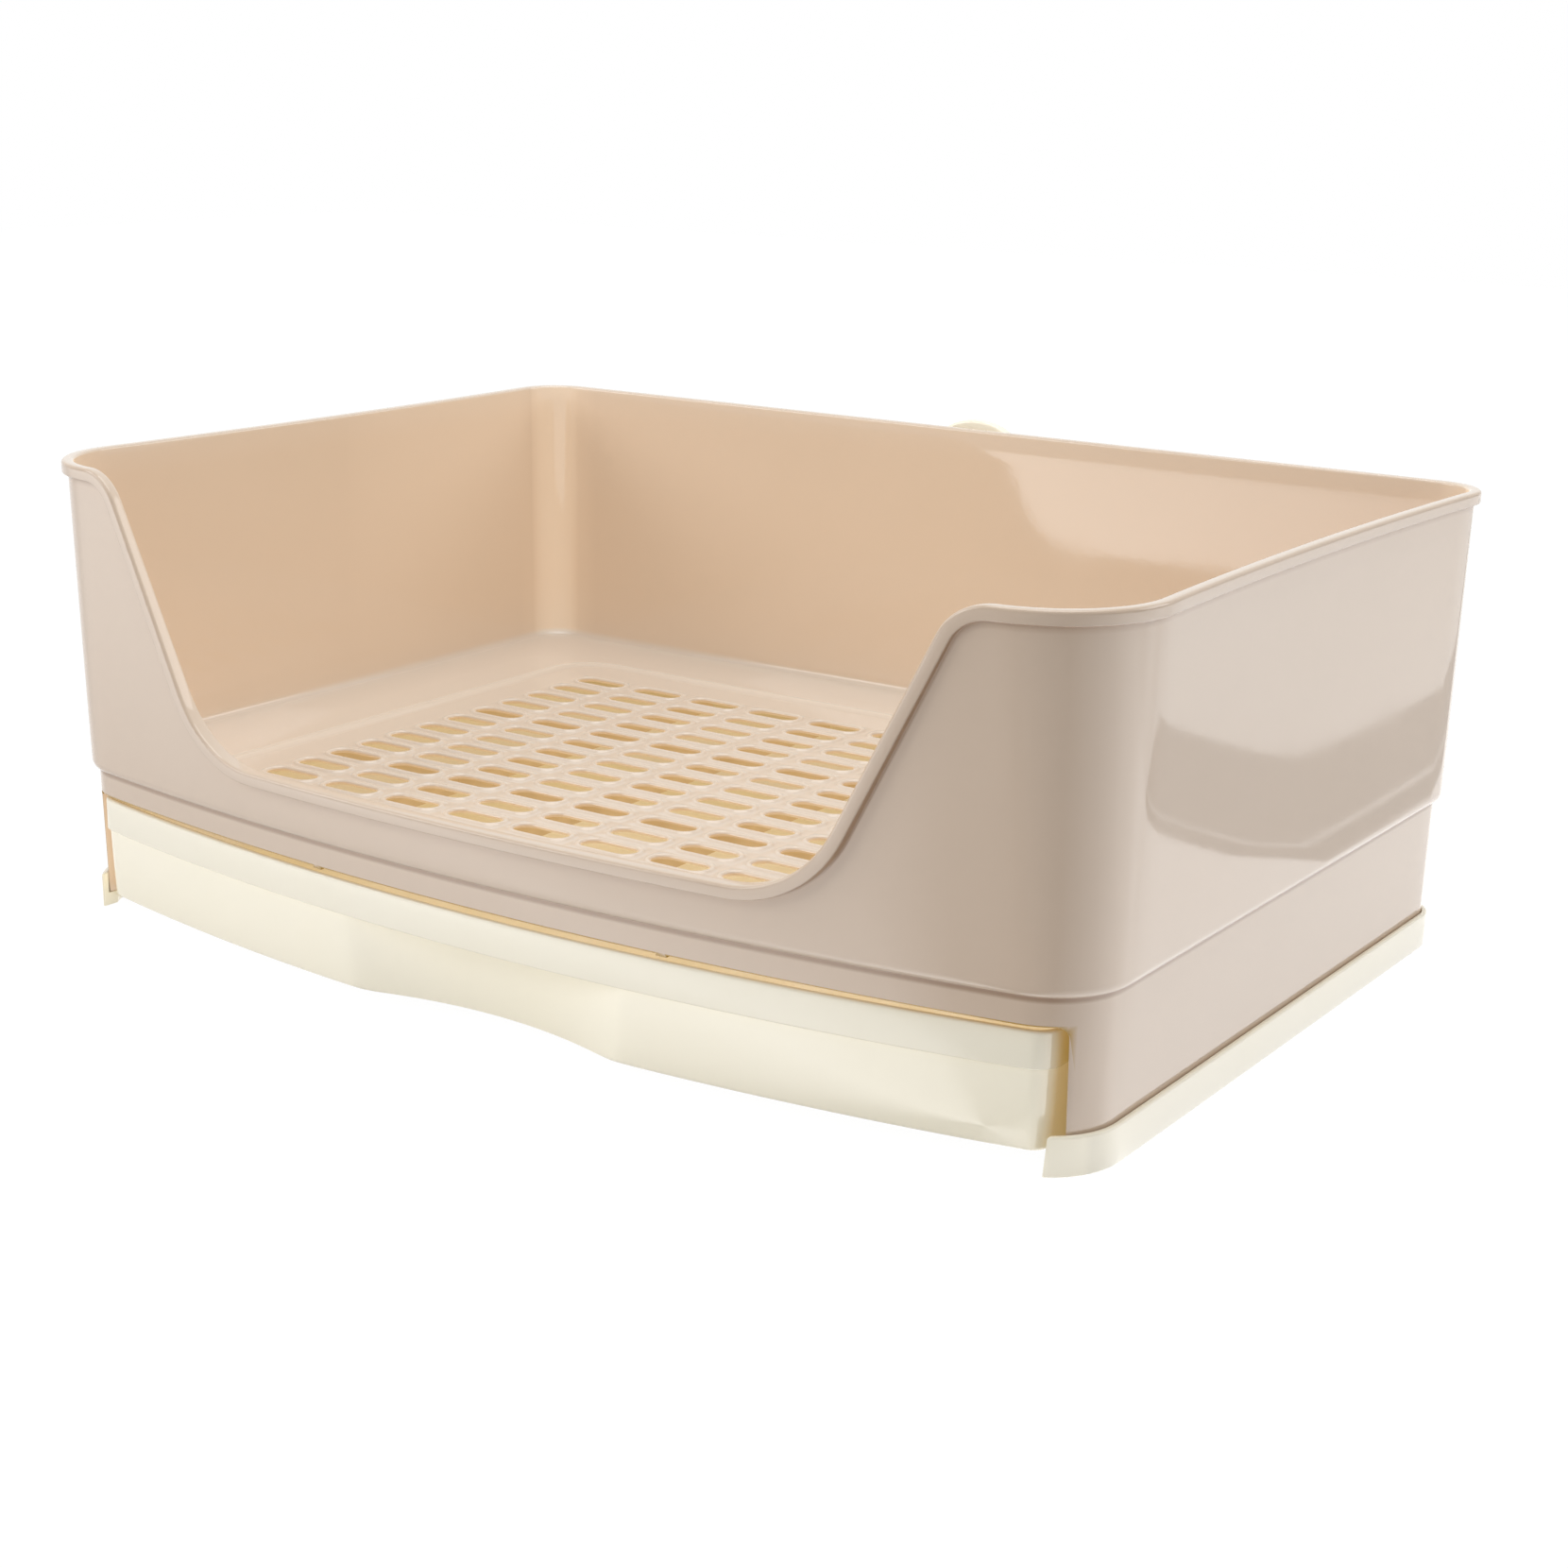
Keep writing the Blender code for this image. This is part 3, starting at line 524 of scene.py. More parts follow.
def enclosure_mesh():
    """Walls, lip, step, skirt and floor ledge as one closed profile taken round the tray."""
    edge = scoop_edge()

    def along_rim(below, plan_at):
        face = [(x + below * sin(turn), z - below * cos(turn)) for x, z, turn in edge]
        return ring(plan_at(RIM_HEIGHT - below), RIM_HEIGHT - below, face, plan_at)

    def level(plan, z, below=LIP_HEIGHT):
        face_share = face_half(plan) / face_half(body_plan(z))
        return ring(plan, z, [((x + below * sin(turn)) * face_share, z) for x, _, turn in edge])

    def down_wall(share, plan_at, below, foot):
        """Ring part of the way from the lip down to a level."""
        high = RIM_HEIGHT - below
        widen = face_half(plan_at(foot)) / face_half(body_plan(foot))
        face = []
        for x, z, turn in edge:
            edge_x = x + below * sin(turn)
            face.append((edge_x * blend(1.0, widen, share), blend(z - below * cos(turn), foot, share)))
        height = blend(high, foot, share)
        return ring(plan_at(height), height, face, plan_at)

    lip = []
    for turn in quarter_turn(5):
        inset = LIP_OUTER_ROUND * (1 - sin(turn))
        lip.append(along_rim(LIP_OUTER_ROUND * (1 - cos(turn)), lambda z: shrunk(body_plan(z), inset)))
    for turn in quarter_turn(3):
        inset = LIP_UNDER_ROUND * (1 - cos(turn))
        lip.append(along_rim(LIP_HEIGHT - LIP_UNDER_ROUND * (1 - sin(turn)), lambda z: shrunk(body_plan(z), inset)))
    for turn in quarter_turn(3):
        inset = -LIP_FILLET * (1 - sin(turn))
        lip.append(along_rim(LIP_HEIGHT + LIP_FILLET * (1 - cos(turn)), lambda z: shrunk(wall_plan(z), inset)))
    below = LIP_HEIGHT + LIP_FILLET
    wall = [down_wall(share, wall_plan, below, STEP_HEIGHT + STEP_ROUND) for share in WALL_SHARES]
    step = []
    for turn in quarter_turn(8):
        inset = wall_inset(STEP_HEIGHT) + STEP_LEDGE * (1 - cos(turn))
        step.append(level(shrunk(body_plan(STEP_HEIGHT), inset), STEP_HEIGHT + STEP_ROUND * (1 - sin(turn)), below))
    foot = body_plan(SKIRT_FOOT)
    underside = FLOOR_TOP - FLOOR_THICKNESS
    outer, inner = band_inset(SKIRT_FOOT), band_inset(SKIRT_FOOT) + WALL
    skirt = [level(shrunk(foot, band_inset(z)), z, below) for z in SKIRT_LEVELS]
    skirt += [level(shrunk(foot, outer), SKIRT_FOOT + BAND_FOOT_ROUND, below),
              level(shrunk(foot, outer + BAND_FOOT_ROUND), SKIRT_FOOT, below),
              level(shrunk(foot, inner - BAND_FOOT_ROUND), SKIRT_FOOT, below),
              level(shrunk(foot, inner), SKIRT_FOOT + BAND_FOOT_ROUND, below)]
    skirt += [level(shrunk(foot, band_inset(z) + WALL), z, below) for z in (*BAY_LEVELS, underside)]
    hole = shrunk(grate_plan(), GRATE_FLANGE)
    strip = floor_plan(STRIP_SIDE, STRIP_REAR, STRIP_FRONT, FLOOR_CORNER)
    floor = [level(hole, underside, below), level(hole, SEAT_HEIGHT, below),
             level(shrunk(grate_plan(), -SEAT_MARGIN), SEAT_HEIGHT, below),
             level(shrunk(strip, STRIP_SOFTNESS / 3), FLOOR_TOP - GAP, below),
             level(strip, FLOOR_TOP, below)]
    for turn in quarter_turn(6):
        height = FLOOR_TOP + FLOOR_FILLET * (1 - cos(turn))
        floor.append(level(shrunk(room_plan(height), FLOOR_FILLET * (1 - sin(turn))), height, 0.0))
    top = FLOOR_TOP + FLOOR_FILLET
    inside = [down_wall(share, room_plan, LIP_INNER_ROUND, top) for share in reversed(WALL_SHARES[2:])]
    for turn in quarter_turn(4):
        inset = -LIP_INNER_ROUND * (1 - cos(turn))
        inside.append(along_rim(LIP_INNER_ROUND * (1 - sin(turn)), lambda z: shrunk(room_plan(z), inset)))
    return loft(lip + wall + step + skirt + floor + inside, closed=True, grooves=PAINTED_GROOVE_SHADE)


def opening_outline():
    """Drawer's opening as (x, z): rounded upper corners, and a stop at each side of its top edge."""
    low = SKIRT_FOOT - OVERRUN
    half, top, inner = OPENING_HALF_WIDTH, OPENING_HEIGHT, OPENING_HALF_WIDTH - OPENING_ROUND
    right = [(half, low), (half, top - OPENING_ROUND)]
    right += arc(inner, top - OPENING_ROUND, OPENING_ROUND, 0.0, pi / 2, 8)
    outer_x, inner_x = STOP_SPREAD + STOP_WIDTH / 2, STOP_SPREAD - STOP_WIDTH / 2
    right += [(outer_x, top), (outer_x, top - STOP_DROP), (inner_x, top - STOP_DROP), (inner_x, top)]
    return right + [(-x, z) for x, z in reversed(right)]


def make_enclosure(material):
    obj = new_object("tray_enclosure", enclosure_mesh())
    wall_middle = REAR - wall_inset(KNOB_HEIGHT) - WALL / 2
    pad_top = RIM_HEIGHT - LIP_HEIGHT - PAD_BELOW_LIP
    pad_foot = pad_top - PAD_HEIGHT
    half, pad_face = PAD_WIDTH / 2, REAR + PAD_STAND_OUT

    def pad_outline(rib, y):
        low, high = pad_foot + rib, pad_top - rib
        return [(-half + rib, y, low), (half - rib, y, low), (half - rib, y, high), (-half + rib, y, high)]

    pad_frame = [pad_outline(0.0, wall_middle), pad_outline(0.0, pad_face), pad_outline(PAD_RIB, pad_face),
                 pad_outline(PAD_RIB, wall_middle)]
    cross_bars = [((-half + SINK, KNOB_HEIGHT - PAD_RIB / 2), (half - SINK, KNOB_HEIGHT + PAD_RIB / 2), GAP),
                  ((-PAD_RIB / 2, pad_foot + SINK), (PAD_RIB / 2, pad_top - SINK), 2 * GAP)]
    cuts = [(upright(opening_outline(), FRONT - OVERRUN, FRONT + OPENING_REACH), 'DIFFERENCE'),
            (loft(pad_frame, closed=True), 'UNION')]
    for low, high, back in cross_bars:
        cuts.append((box((low[0], wall_middle, low[1]), (high[0], pad_face - back, high[1])), 'UNION'))
    boss_face = REAR + BOSS_STAND_OUT
    cuts.append((turned([(BOSS_RADIUS, wall_middle + GAP), (BOSS_RADIUS, boss_face)], KNOB_HEIGHT, 48), 'UNION'))
    bore = SHANK_RADIUS + SHANK_CLEARANCE
    cuts.append((turned([(bore, REAR - wall_inset(KNOB_HEIGHT)), (bore, boss_face + OVERRUN)], KNOB_HEIGHT, 48),
                 'DIFFERENCE'))
    rounded(carve(obj, cuts))
    middle = (0.0, (FRONT + REAR) / 2)

    def in_bay(place, normal):
        """True on the bay's walls and ceiling, but not under the step outside."""
        if not SKIRT_FOOT + GAP < place.z < SEAT_HEIGHT - GAP:
            return False
        under_ledge = (abs(place.x) < CEILING_HALF_WIDTH_SHARE * HALF
                       and abs(place.y - middle[1]) < CEILING_HALF_DEPTH_SHARE * DEPTH)
        return (under_ledge and normal.z < -0.5) or dot_inwards(place, normal, middle) > 0.5

    def deep(place, normal):
        """Painted golden shade and glow: 1 on the top edge and the right end of the drawer's opening, and some on
        the bay's walls and ceiling.
        """
        if place.z > OPENING_HEIGHT + EDGE_ROUND or place.y > FRONT + OPENING_REACH:
            return BAY_PAINTED_GOLD if in_bay(place, normal) else 0.0
        lintel = normal.z < 0 and place.z > DRAWER_TOP
        right_end = place.x > 0 and place.z > SKIRT_FOOT + GAP and dot_inwards(place, normal, middle) > 0.3
        return 1.0 if lintel or right_end else 0.0

    def inside(place, normal):
        """Painted glow: 1 on the inner walls, a painted bright band in the rear corners, and painted shade to the
        right along the rear wall. Less on the floor ledge, where it is a painted sheen, and along the lip's top.
        In the drawer's bay most on the ceiling."""
        facing = dot_inwards(place, normal, middle)
        if deep(place, normal) == 1:
            return LINTEL_SOAK if place.z > DRAWER_TOP else JAMB_SOAK
        if place.x < 0 and place.y < FRONT + OPENING_REACH and SKIRT_FOOT < place.z < OPENING_HEIGHT and facing > 0:
            return JAMB_SOAK
        if place.z < SEAT_HEIGHT - GAP:
            if not in_bay(place, normal):
                return 0.0
            return CEILING_SOAK if normal.z < -0.5 else BAY_SOAK
        if normal.z > 0.7 and place.z < FLOOR_TOP + GAP:
            return FLOOR_SHEEN
        corner = sqrt(2 * abs(normal.x * normal.y)) if facing > 0 and place.y > 0 else 0.0
        fade = REAR_FADE * max(0.0, place.x / HALF) if normal.y < -0.7 else 0.0
        return min(1.0, max(0.0, (1 + facing) / 2)) * (1 + CORNER_GLOW * corner) * (1 - fade)

    mark(obj, "painted_glow", inside)
    mark(obj, "painted_gold", deep)
    finish_piece(obj, "body", ["enclosure"], material)


# Grate
def slot_tile():
    """One slot with its rolled rim, out to the edges of its share of the grate."""
    arc_steps = 8
    radius, reach = SLOT_WIDTH / 2, SLOT_LENGTH / 2 - SLOT_WIDTH / 2
    half_x, half_y = SLOT_PITCH_X / 2, SLOT_PITCH_Y / 2

    def quarter(offset):
        """From the middle of the long side to the end of the slot, for +x +y."""
        out = radius + offset
        points = [(reach * share, out) for share in shares(4)]
        return points + [(reach + out * sin(turn), out * cos(turn)) for turn in quarter_turn(arc_steps)[1:]]

    edge = [(reach * share, half_y) for share in shares(4)]
    edge += [(blend(reach, half_x, share), half_y) for share in shares(arc_steps // 2)[1:]]
    edge += [(half_x, half_y * (1 - share)) for share in shares(arc_steps // 2)[1:]]

    def whole(right):
        lower = [(x, -y) for x, y in reversed(right[:-1])]
        half_loop = right + lower
        return half_loop + [(-x, y) for x, y in reversed(half_loop[1:-1])]

    def lifted(points, z):
        return [(x, y, z) for x, y in points]

    rings = [lifted(whole(quarter(ROLL_FOOT)), -GRATE_THICKNESS)]
    rings += [lifted(whole(quarter(out)), up) for out, up in ROLL]
    rings.append(lifted(whole(edge), -ROLL_DIP))
    shape = bmesh.new()
    rows = [new_row(shape, points) for points in rings]
    rows.append(new_row(shape, lifted(whole(edge), -GRATE_THICKNESS)))
    for low, high in list(zip(rows[:-2], rows[1:-1])) + [(rows[-1], rows[0])]:
        skin(shape, low, high)
    bmesh.ops.recalc_face_normals(shape, faces=shape.faces)
    top = max(shape.faces, key=lambda f: f.calc_center_median().z)
    if top.normal.z < 0:
        bmesh.ops.reverse_faces(shape, faces=shape.faces)
    mesh = bpy.data.meshes.new("slot_tile")
    shape.to_mesh(mesh)
    shape.free()
    return mesh


def add_node(tree, kind, inputs=(), **settings):
    """Adds a node. settings are its own properties; inputs maps a socket to a value or to an output."""
    node = tree.nodes.new(kind)
    for name, value in settings.items():
        setattr(node, name, value)
    for socket, value in dict(inputs).items():
        if isinstance(value, bpy.types.NodeSocket):
            tree.links.new(value, node.inputs[socket])
        else:
            node.inputs[socket].default_value = value
    return node


def perforation_tree():
    """Repeats one slot over the grate in columns and rows, and welds the copies."""
    tree = bpy.data.node_groups.new("perforation", 'GeometryNodeTree')
    tree.interface.new_socket("Geometry", in_out='INPUT', socket_type='NodeSocketGeometry')
    for name, kind in (("Columns", 'NodeSocketInt'), ("Rows", 'NodeSocketInt'), ("Column Pitch", 'NodeSocketFloat'),
                       ("Row Pitch", 'NodeSocketFloat'), ("Middle", 'NodeSocketVector'),
                       ("Finish", 'NodeSocketMaterial')):
        tree.interface.new_socket(name, in_out='INPUT', socket_type=kind)
    tree.interface.new_socket("Geometry", in_out='OUTPUT', socket_type='NodeSocketGeometry')
    given = add_node(tree, 'NodeGroupInput').outputs
    spans = []
    for count, pitch in (("Columns", "Column Pitch"), ("Rows", "Row Pitch")):
        gaps = add_node(tree, 'ShaderNodeMath', {0: given[count], 1: 1.0}, operation='SUBTRACT')
        spans.append(add_node(tree, 'ShaderNodeMath', {0: gaps.outputs[0], 1: given[pitch]}, operation='MULTIPLY'))
    grid = add_node(tree, 'GeometryNodeMeshGrid', {"Size X": spans[0].outputs[0], "Size Y": spans[1].outputs[0],
                                                  "Vertices X": given["Columns"], "Vertices Y": given["Rows"]})
    moved = add_node(tree, 'GeometryNodeTransform', {"Geometry": grid.outputs["Mesh"], "Translation": given["Middle"]})
    points = add_node(tree, 'GeometryNodeMeshToPoints', {"Mesh": moved.outputs[0]})
    copies = add_node(tree, 'GeometryNodeInstanceOnPoints', {"Points": points.outputs[0],
                                                             "Instance": given["Geometry"]})
    real = add_node(tree, 'GeometryNodeRealizeInstances', {0: copies.outputs[0]})
    welded = add_node(tree, 'GeometryNodeMergeByDistance', {"Geometry": real.outputs[0], "Distance": 0.00001})
    painted = add_node(tree, 'GeometryNodeSetMaterial', {"Geometry": welded.outputs[0], "Material": given["Finish"]})
    add_node(tree, 'NodeGroupOutput', {0: painted.outputs[0]})
    return tree


def with_nodes(obj, tree, values):
    """Runs a node tree on an object with the named inputs given, and settles the result."""
    modifier = obj.modifiers.new(tree.name, 'NODES')
    modifier.node_group = tree
    for item in tree.interface.items_tree:
        if item.item_type == 'SOCKET' and item.in_out == 'INPUT' and item.name in values:
            modifier[item.identifier] = values[item.name]
    return settled(obj)


def make_grate(material):
    plan = grate_plan()
    first_row = plan.rear - FIRST_ROW_FROM_REAR
    middle_y = first_row - (SLOT_ROWS - 1) / 2 * SLOT_PITCH_Y
    field = with_nodes(new_object("slots", slot_tile()), perforation_tree(), {
        "Columns": SLOT_COLUMNS, "Rows": SLOT_ROWS, "Column Pitch": SLOT_PITCH_X, "Row Pitch": SLOT_PITCH_Y,
        "Middle": (0.0, middle_y, GRATE_TOP), "Finish": material})
    shape = bmesh.new()
    shape.from_mesh(field.data)
    bpy.data.objects.remove(field, do_unlink=True)
    top_z = max(v.co.z for v in shape.verts if v.is_boundary)
    rim_edges = {top_z: [], GRATE_FOOT: []}
    for edge in shape.edges:
        if edge.is_boundary:
            z = edge.verts[0].co.z
            rim_edges[min(rim_edges, key=lambda level: abs(level - z))].append(edge)
    crest = GRATE_TOP + BEAD_HEIGHT
    inner = shrunk(plan, GRATE_FLANGE + GAP)
    rings = [ring(inner, GRATE_FOOT), ring(inner, FLANGE_FOOT), ring(plan, FLANGE_FOOT)]
    for turn in quarter_turn(6):
        rings.append(ring(shrunk(plan, BEAD_WIDTH * (1 - cos(turn))),
                          blend(FLANGE_FOOT + FLANGE_EDGE, crest, sin(turn))))
    for share in shares(6)[1:]:
        rings.append(ring(shrunk(plan, BEAD_WIDTH * (1 + share)),
                          blend(top_z, crest, (1 + cos(pi * share)) / 2)))
    rows = [new_row(shape, points) for points in rings]
    for low, high in zip(rows, rows[1:]):
        skin(shape, low, high)
    for row, level in ((rows[-1], top_z), (rows[0], GRATE_FOOT)):
        loop = [shape.edges.get((row[i], row[(i + 1) % len(row)])) for i in range(len(row))]
        bmesh.ops.triangle_fill(shape, use_beauty=True, use_dissolve=False, edges=loop + rim_edges[level])
    obj = new_object("tray_grate", mesh_from(shape, "grate"))
    columns = [(i - (SLOT_COLUMNS - 1) / 2) * SLOT_PITCH_X for i in range(SLOT_COLUMNS)]
    rows_y = [first_row - i * SLOT_PITCH_Y for i in range(SLOT_ROWS)]
    low, high = GRATE_FOOT - RIB_DEPTH, GRATE_FOOT + SINK
    half = plan.half - RIB_MARGIN
    front, rear = face_y(plan, columns[-1]) + RIB_MARGIN, plan.rear - RIB_MARGIN
    cuts = []
    for i in RIB_COLUMNS:
        x = (columns[i - 1] + columns[i]) / 2
        cuts.append((box((x - RIB_THICKNESS / 2, front, low), (x + RIB_THICKNESS / 2, rear, high)), 'UNION'))
    for i in RIB_ROWS:
        y = (rows_y[i - 1] + rows_y[i]) / 2
        cuts.append((box((-half, y - RIB_THICKNESS / 2, low + GAP), (half, y + RIB_THICKNESS / 2, high - GAP)),
                     'UNION'))
    carve(obj, cuts)

    field_x, field_y = SLOT_COLUMNS * SLOT_PITCH_X / 2, SLOT_ROWS * SLOT_PITCH_Y / 2

    def through(place, normal):
        """Painted glow: most on the underside, more on the slots' edges, a painted highlight on the crests of their
        rims and of the bead, and a painted sheen on the rest of the top.
        """
        if place.z < GRATE_FOOT + GAP:
            return CEILING_SOAK if normal.z < -0.5 else RIB_SOAK
        if abs(place.x) < field_x and abs(place.y - middle_y) < field_y and place.z < GRATE_TOP - 1.5 * ROLL_DIP:
            return SLOT_SOAK
        return CREST_HIGHLIGHT if place.z > GRATE_TOP + GAP else FLOOR_SHEEN

    # Golden painted shade and glow on the grate's underside
    def deep(place, normal):
        return BAY_PAINTED_GOLD if place.z < GRATE_FOOT + GAP and normal.z < -0.5 else 0.0

    mark(obj, "painted_glow", through)
    mark(obj, "painted_gold", deep)
    finish_piece(obj, "grate", ["floor_grate"], material, 40)


# Drawer
def make_drawer(material):
    collar_foot = DRAWER_TOP - COLLAR_HEIGHT
    plan = Plan(DRAWER_HALF_WIDTH, FRONT + band_inset(DRAWER_TOP), REAR - DRAWER_REAR_MARGIN,
                DRAWER_FRONT_CORNER, DRAWER_REAR_CORNER, DRAWER_BOW_RADIUS, 0.0)
    body = shrunk(plan, COLLAR_PROUD)
    grip_radius = (GRIP_HALF_WIDTH ** 2 + GRIP_DEPTH ** 2) / (2 * GRIP_DEPTH)
    grip_y = body.front + GRIP_DEPTH - grip_radius
    marks = [GRIP_FINE_FROM * share for share in shares(14)[:-1]]
    marks += [blend(GRIP_FINE_FROM, GRIP_FINE_TO, share) for share in shares(16)[:-1]]

    def drawer_ring(outline, z, radius=None):
        end = face_half(outline)
        xs = marks + [blend(GRIP_FINE_TO, end, share) for share in shares(22)[:-1]]
        points = ring(outline, z, [(x, z) for x in xs])
        if radius is None:
            return points
        moved = []
        for x, y, height in points:
            if abs(x) < GRIP_REACH and y < 0.0:
                gap = y - grip_y - sqrt(radius ** 2 - x ** 2)
                y += (sqrt(gap ** 2 + GRIP_SOFTNESS ** 2) - gap) / 2
            moved.append((x, y, height))
        return moved

    def slant(z):
        return DRAWER_DRAFT * (collar_foot - z) / (collar_foot - DRAWER_FOOT)

    rings = []
    for turn in quarter_turn(4):
        inset = DRAWER_FOOT_ROUND * (1 - sin(turn))
        rings.append(drawer_ring(shrunk(body, slant(DRAWER_FOOT + inset) + inset),
                                 DRAWER_FOOT + DRAWER_FOOT_ROUND * (1 - cos(turn)), grip_radius))
    rings += [drawer_ring(shrunk(body, slant(z)), z, grip_radius) for z in (*DRAWER_LEVELS, collar_foot)]
    rings += [drawer_ring(shrunk(plan, COLLAR_ROUND * (1 - sin(turn))), collar_foot + COLLAR_ROUND * (1 - cos(turn)))
              for turn in quarter_turn(3)]
    rings.append(drawer_ring(plan, DRAWER_TOP - DRAWER_TOP_ROUND * 3))
    for turn in quarter_turn(4):
        rings.append(drawer_ring(shrunk(plan, DRAWER_TOP_ROUND * (1 - cos(turn))),
                                 DRAWER_TOP - DRAWER_TOP_ROUND * (1 - sin(turn))))
    for turn in quarter_turn(4):
        inset = DRAWER_WALL - DRAWER_TOP_ROUND * (1 - sin(turn))
        rings.append(drawer_ring(shrunk(plan, inset), DRAWER_TOP - DRAWER_TOP_ROUND * (1 - cos(turn))))
    inner = shrunk(body, DRAWER_WALL)
    bulge = grip_radius + DRAWER_WALL
    rings.append(drawer_ring(shrunk(plan, DRAWER_WALL), collar_foot + DRAWER_WALL + GAP))
    rings.append(drawer_ring(inner, collar_foot + DRAWER_WALL, bulge))
    floor_top = DRAWER_FOOT + DRAWER_WALL
    rings += [drawer_ring(shrunk(inner, slant(z)), z, bulge) for z in DRAWER_ROOM_LEVELS]
    for turn in quarter_turn(5):
        inset = slant(floor_top) + DRAWER_FLOOR_FILLET * (1 - cos(turn))
        rings.append(drawer_ring(shrunk(inner, inset), floor_top + DRAWER_FLOOR_FILLET * (1 - sin(turn)), bulge))
    mesh = loft(rings)
    mesh.transform(Matrix.Translation((DRAWER_OFF_CENTRE, 0.0, 0.0)))
    middle = (DRAWER_OFF_CENTRE, (plan.front + plan.rear) / 2)
    obj = new_object("waste_drawer", mesh)

    def within(place, normal):
        return max(normal.z, dot_inwards(place, normal, middle)) > 0.35 and place.z < DRAWER_TOP - DRAWER_WALL

    def inside(place, normal):
        """Painted glow: most on the drawer's floor and inner walls, and a little through its outer skin below
        the collar.
        """
        if within(place, normal):
            return DRAWER_SOAK
        return SKIN_SOAK if place.z < collar_foot + GAP else 0.0

    def shaded(place, normal):
        """Painted shade inside, so that the painted glow doesn't wash the drawer out when it is pulled into
        the open.
        """
        return DRAWER_SHADE if within(place, normal) else 0.0

    mark(obj, "painted_glow", inside)
    mark(obj, "painted_shade", shaded)
    finish_piece(obj, "drawer", ["drawer"], material, 45)


# Base tray and knob
def make_base(material):
    foot = body_plan(0.0)
    outer_inset = band_inset(0.0) - RAIL_PROUD
    outer = shrunk(foot, outer_inset)
    socket_top = shrunk(foot, band_inset(RAIL_HEIGHT) - GAP)
    socket_foot = shrunk(foot, band_inset(BASE_FLOOR_TOP) - GAP)
    under = BASE_FLOOR_TOP - BASE_FLOOR_THICKNESS
    rings = [ring(shrunk(outer, RAIL_FOOT_WIDTH), under), ring(shrunk(outer, RAIL_FOOT_WIDTH), 0.0)]
    rings += [ring(shrunk(outer, RAIL_FOOT_ROUND * (1 - sin(turn))), RAIL_FOOT_ROUND * (1 - cos(turn)))
              for turn in quarter_turn(3)]
    rings.append(ring(outer, RAIL_HEIGHT / 2))
    rings += [ring(shrunk(outer, RAIL_ROUND * (1 - cos(turn))), RAIL_HEIGHT - RAIL_ROUND * (1 - sin(turn)))
              for turn in quarter_turn(5)]
    fold = RAIL_ROUND / 2
    rings += [ring(shrunk(socket_top, -fold * (1 - sin(turn))), RAIL_HEIGHT - fold * (1 - cos(turn)))
              for turn in quarter_turn(3)]
    rings.append(ring(socket_foot, BASE_FLOOR_TOP))
    obj = new_object("tray_base", loft(rings))
    low, high = -RAIL_HEIGHT, 2 * RAIL_HEIGHT
    half_low, half_high = [MOUTH_HALF_WIDTH + MOUTH_FLARE * z / RAIL_HEIGHT for z in (low, high)]
    mouth = [(-half_low, low), (half_low, low), (half_high, high), (-half_high, high)]
    mouth_rear = face_y(outer, MOUTH_HALF_WIDTH) + MOUTH_REACH / 2
    cutter = upright(mouth, FRONT - OVERRUN, mouth_rear)
    cutter.transform(Matrix.Translation((DRAWER_OFF_CENTRE, 0.0, 0.0)))
    rounded(carve(obj, [(cutter, 'DIFFERENCE')]))

    def inside(place, normal):
        """Painted glow: a little through the front of the rail, and more through its left end."""
        if normal.z > 0.5:
            return 0.0
        if place.x < 0 and place.y < mouth_rear and normal.y > -0.9:
            return RAIL_END_SOAK
        return SKIN_SOAK if normal.y < -0.5 else 0.0

    mark(obj, "painted_glow", inside)
    finish_piece(obj, "base", ["base_tray"], material)


def make_knob(material):
    tip = REAR - wall_inset(KNOB_HEIGHT) + 2 * GAP
    back = KNOB_FACE + KNOB_DISC
    edge = KNOB_RADIUS - KNOB_ROUND
    line = [(SHANK_RADIUS, tip), (SHANK_RADIUS, KNOB_FACE), (edge, KNOB_FACE)]
    line += arc(edge, KNOB_FACE + KNOB_ROUND, KNOB_ROUND, -pi / 2, 0.0, 5)
    line += [(KNOB_RADIUS, back - KNOB_ROUND)]
    line += arc(edge, back - KNOB_ROUND, KNOB_ROUND, 0.0, pi / 2, 5)
    obj = new_object("clamp_dial", turned(line, KNOB_HEIGHT, 96))
    radius = THUMB_BAR_WIDTH / 2
    reach = THUMB_BAR_LENGTH / 2 - radius
    outline = arc(reach, KNOB_HEIGHT, radius, -pi / 2, pi / 2, 12)
    outline += arc(-reach, KNOB_HEIGHT, radius, pi / 2, 3 * pi / 2, 12)
    rounded(carve(obj, [(upright(outline, back - SINK, back + THUMB_BAR_HEIGHT), 'UNION')]))
    # Painted glow all over the knob
    mark(obj, "painted_glow", lambda place, normal: KNOB_SOAK)
    finish_piece(obj, "knob", ["clamp_knob"], material)


# Materials: widths of the flow clouds, the orange peel and the handling marks
CLOUD_WIDTH = 0.0625
PEEL_WIDTH = 0.003125
MARK_WIDTH = 0.025


def linear(code):
    """Linear colour of an sRGB hex value."""
    channels = [int(code[i:i + 2], 16) / 255 for i in (1, 3, 5)]
    return (*[c / 12.92 if c <= 0.04045 else ((c + 0.055) / 1.055) ** 2.4 for c in channels], 1.0)


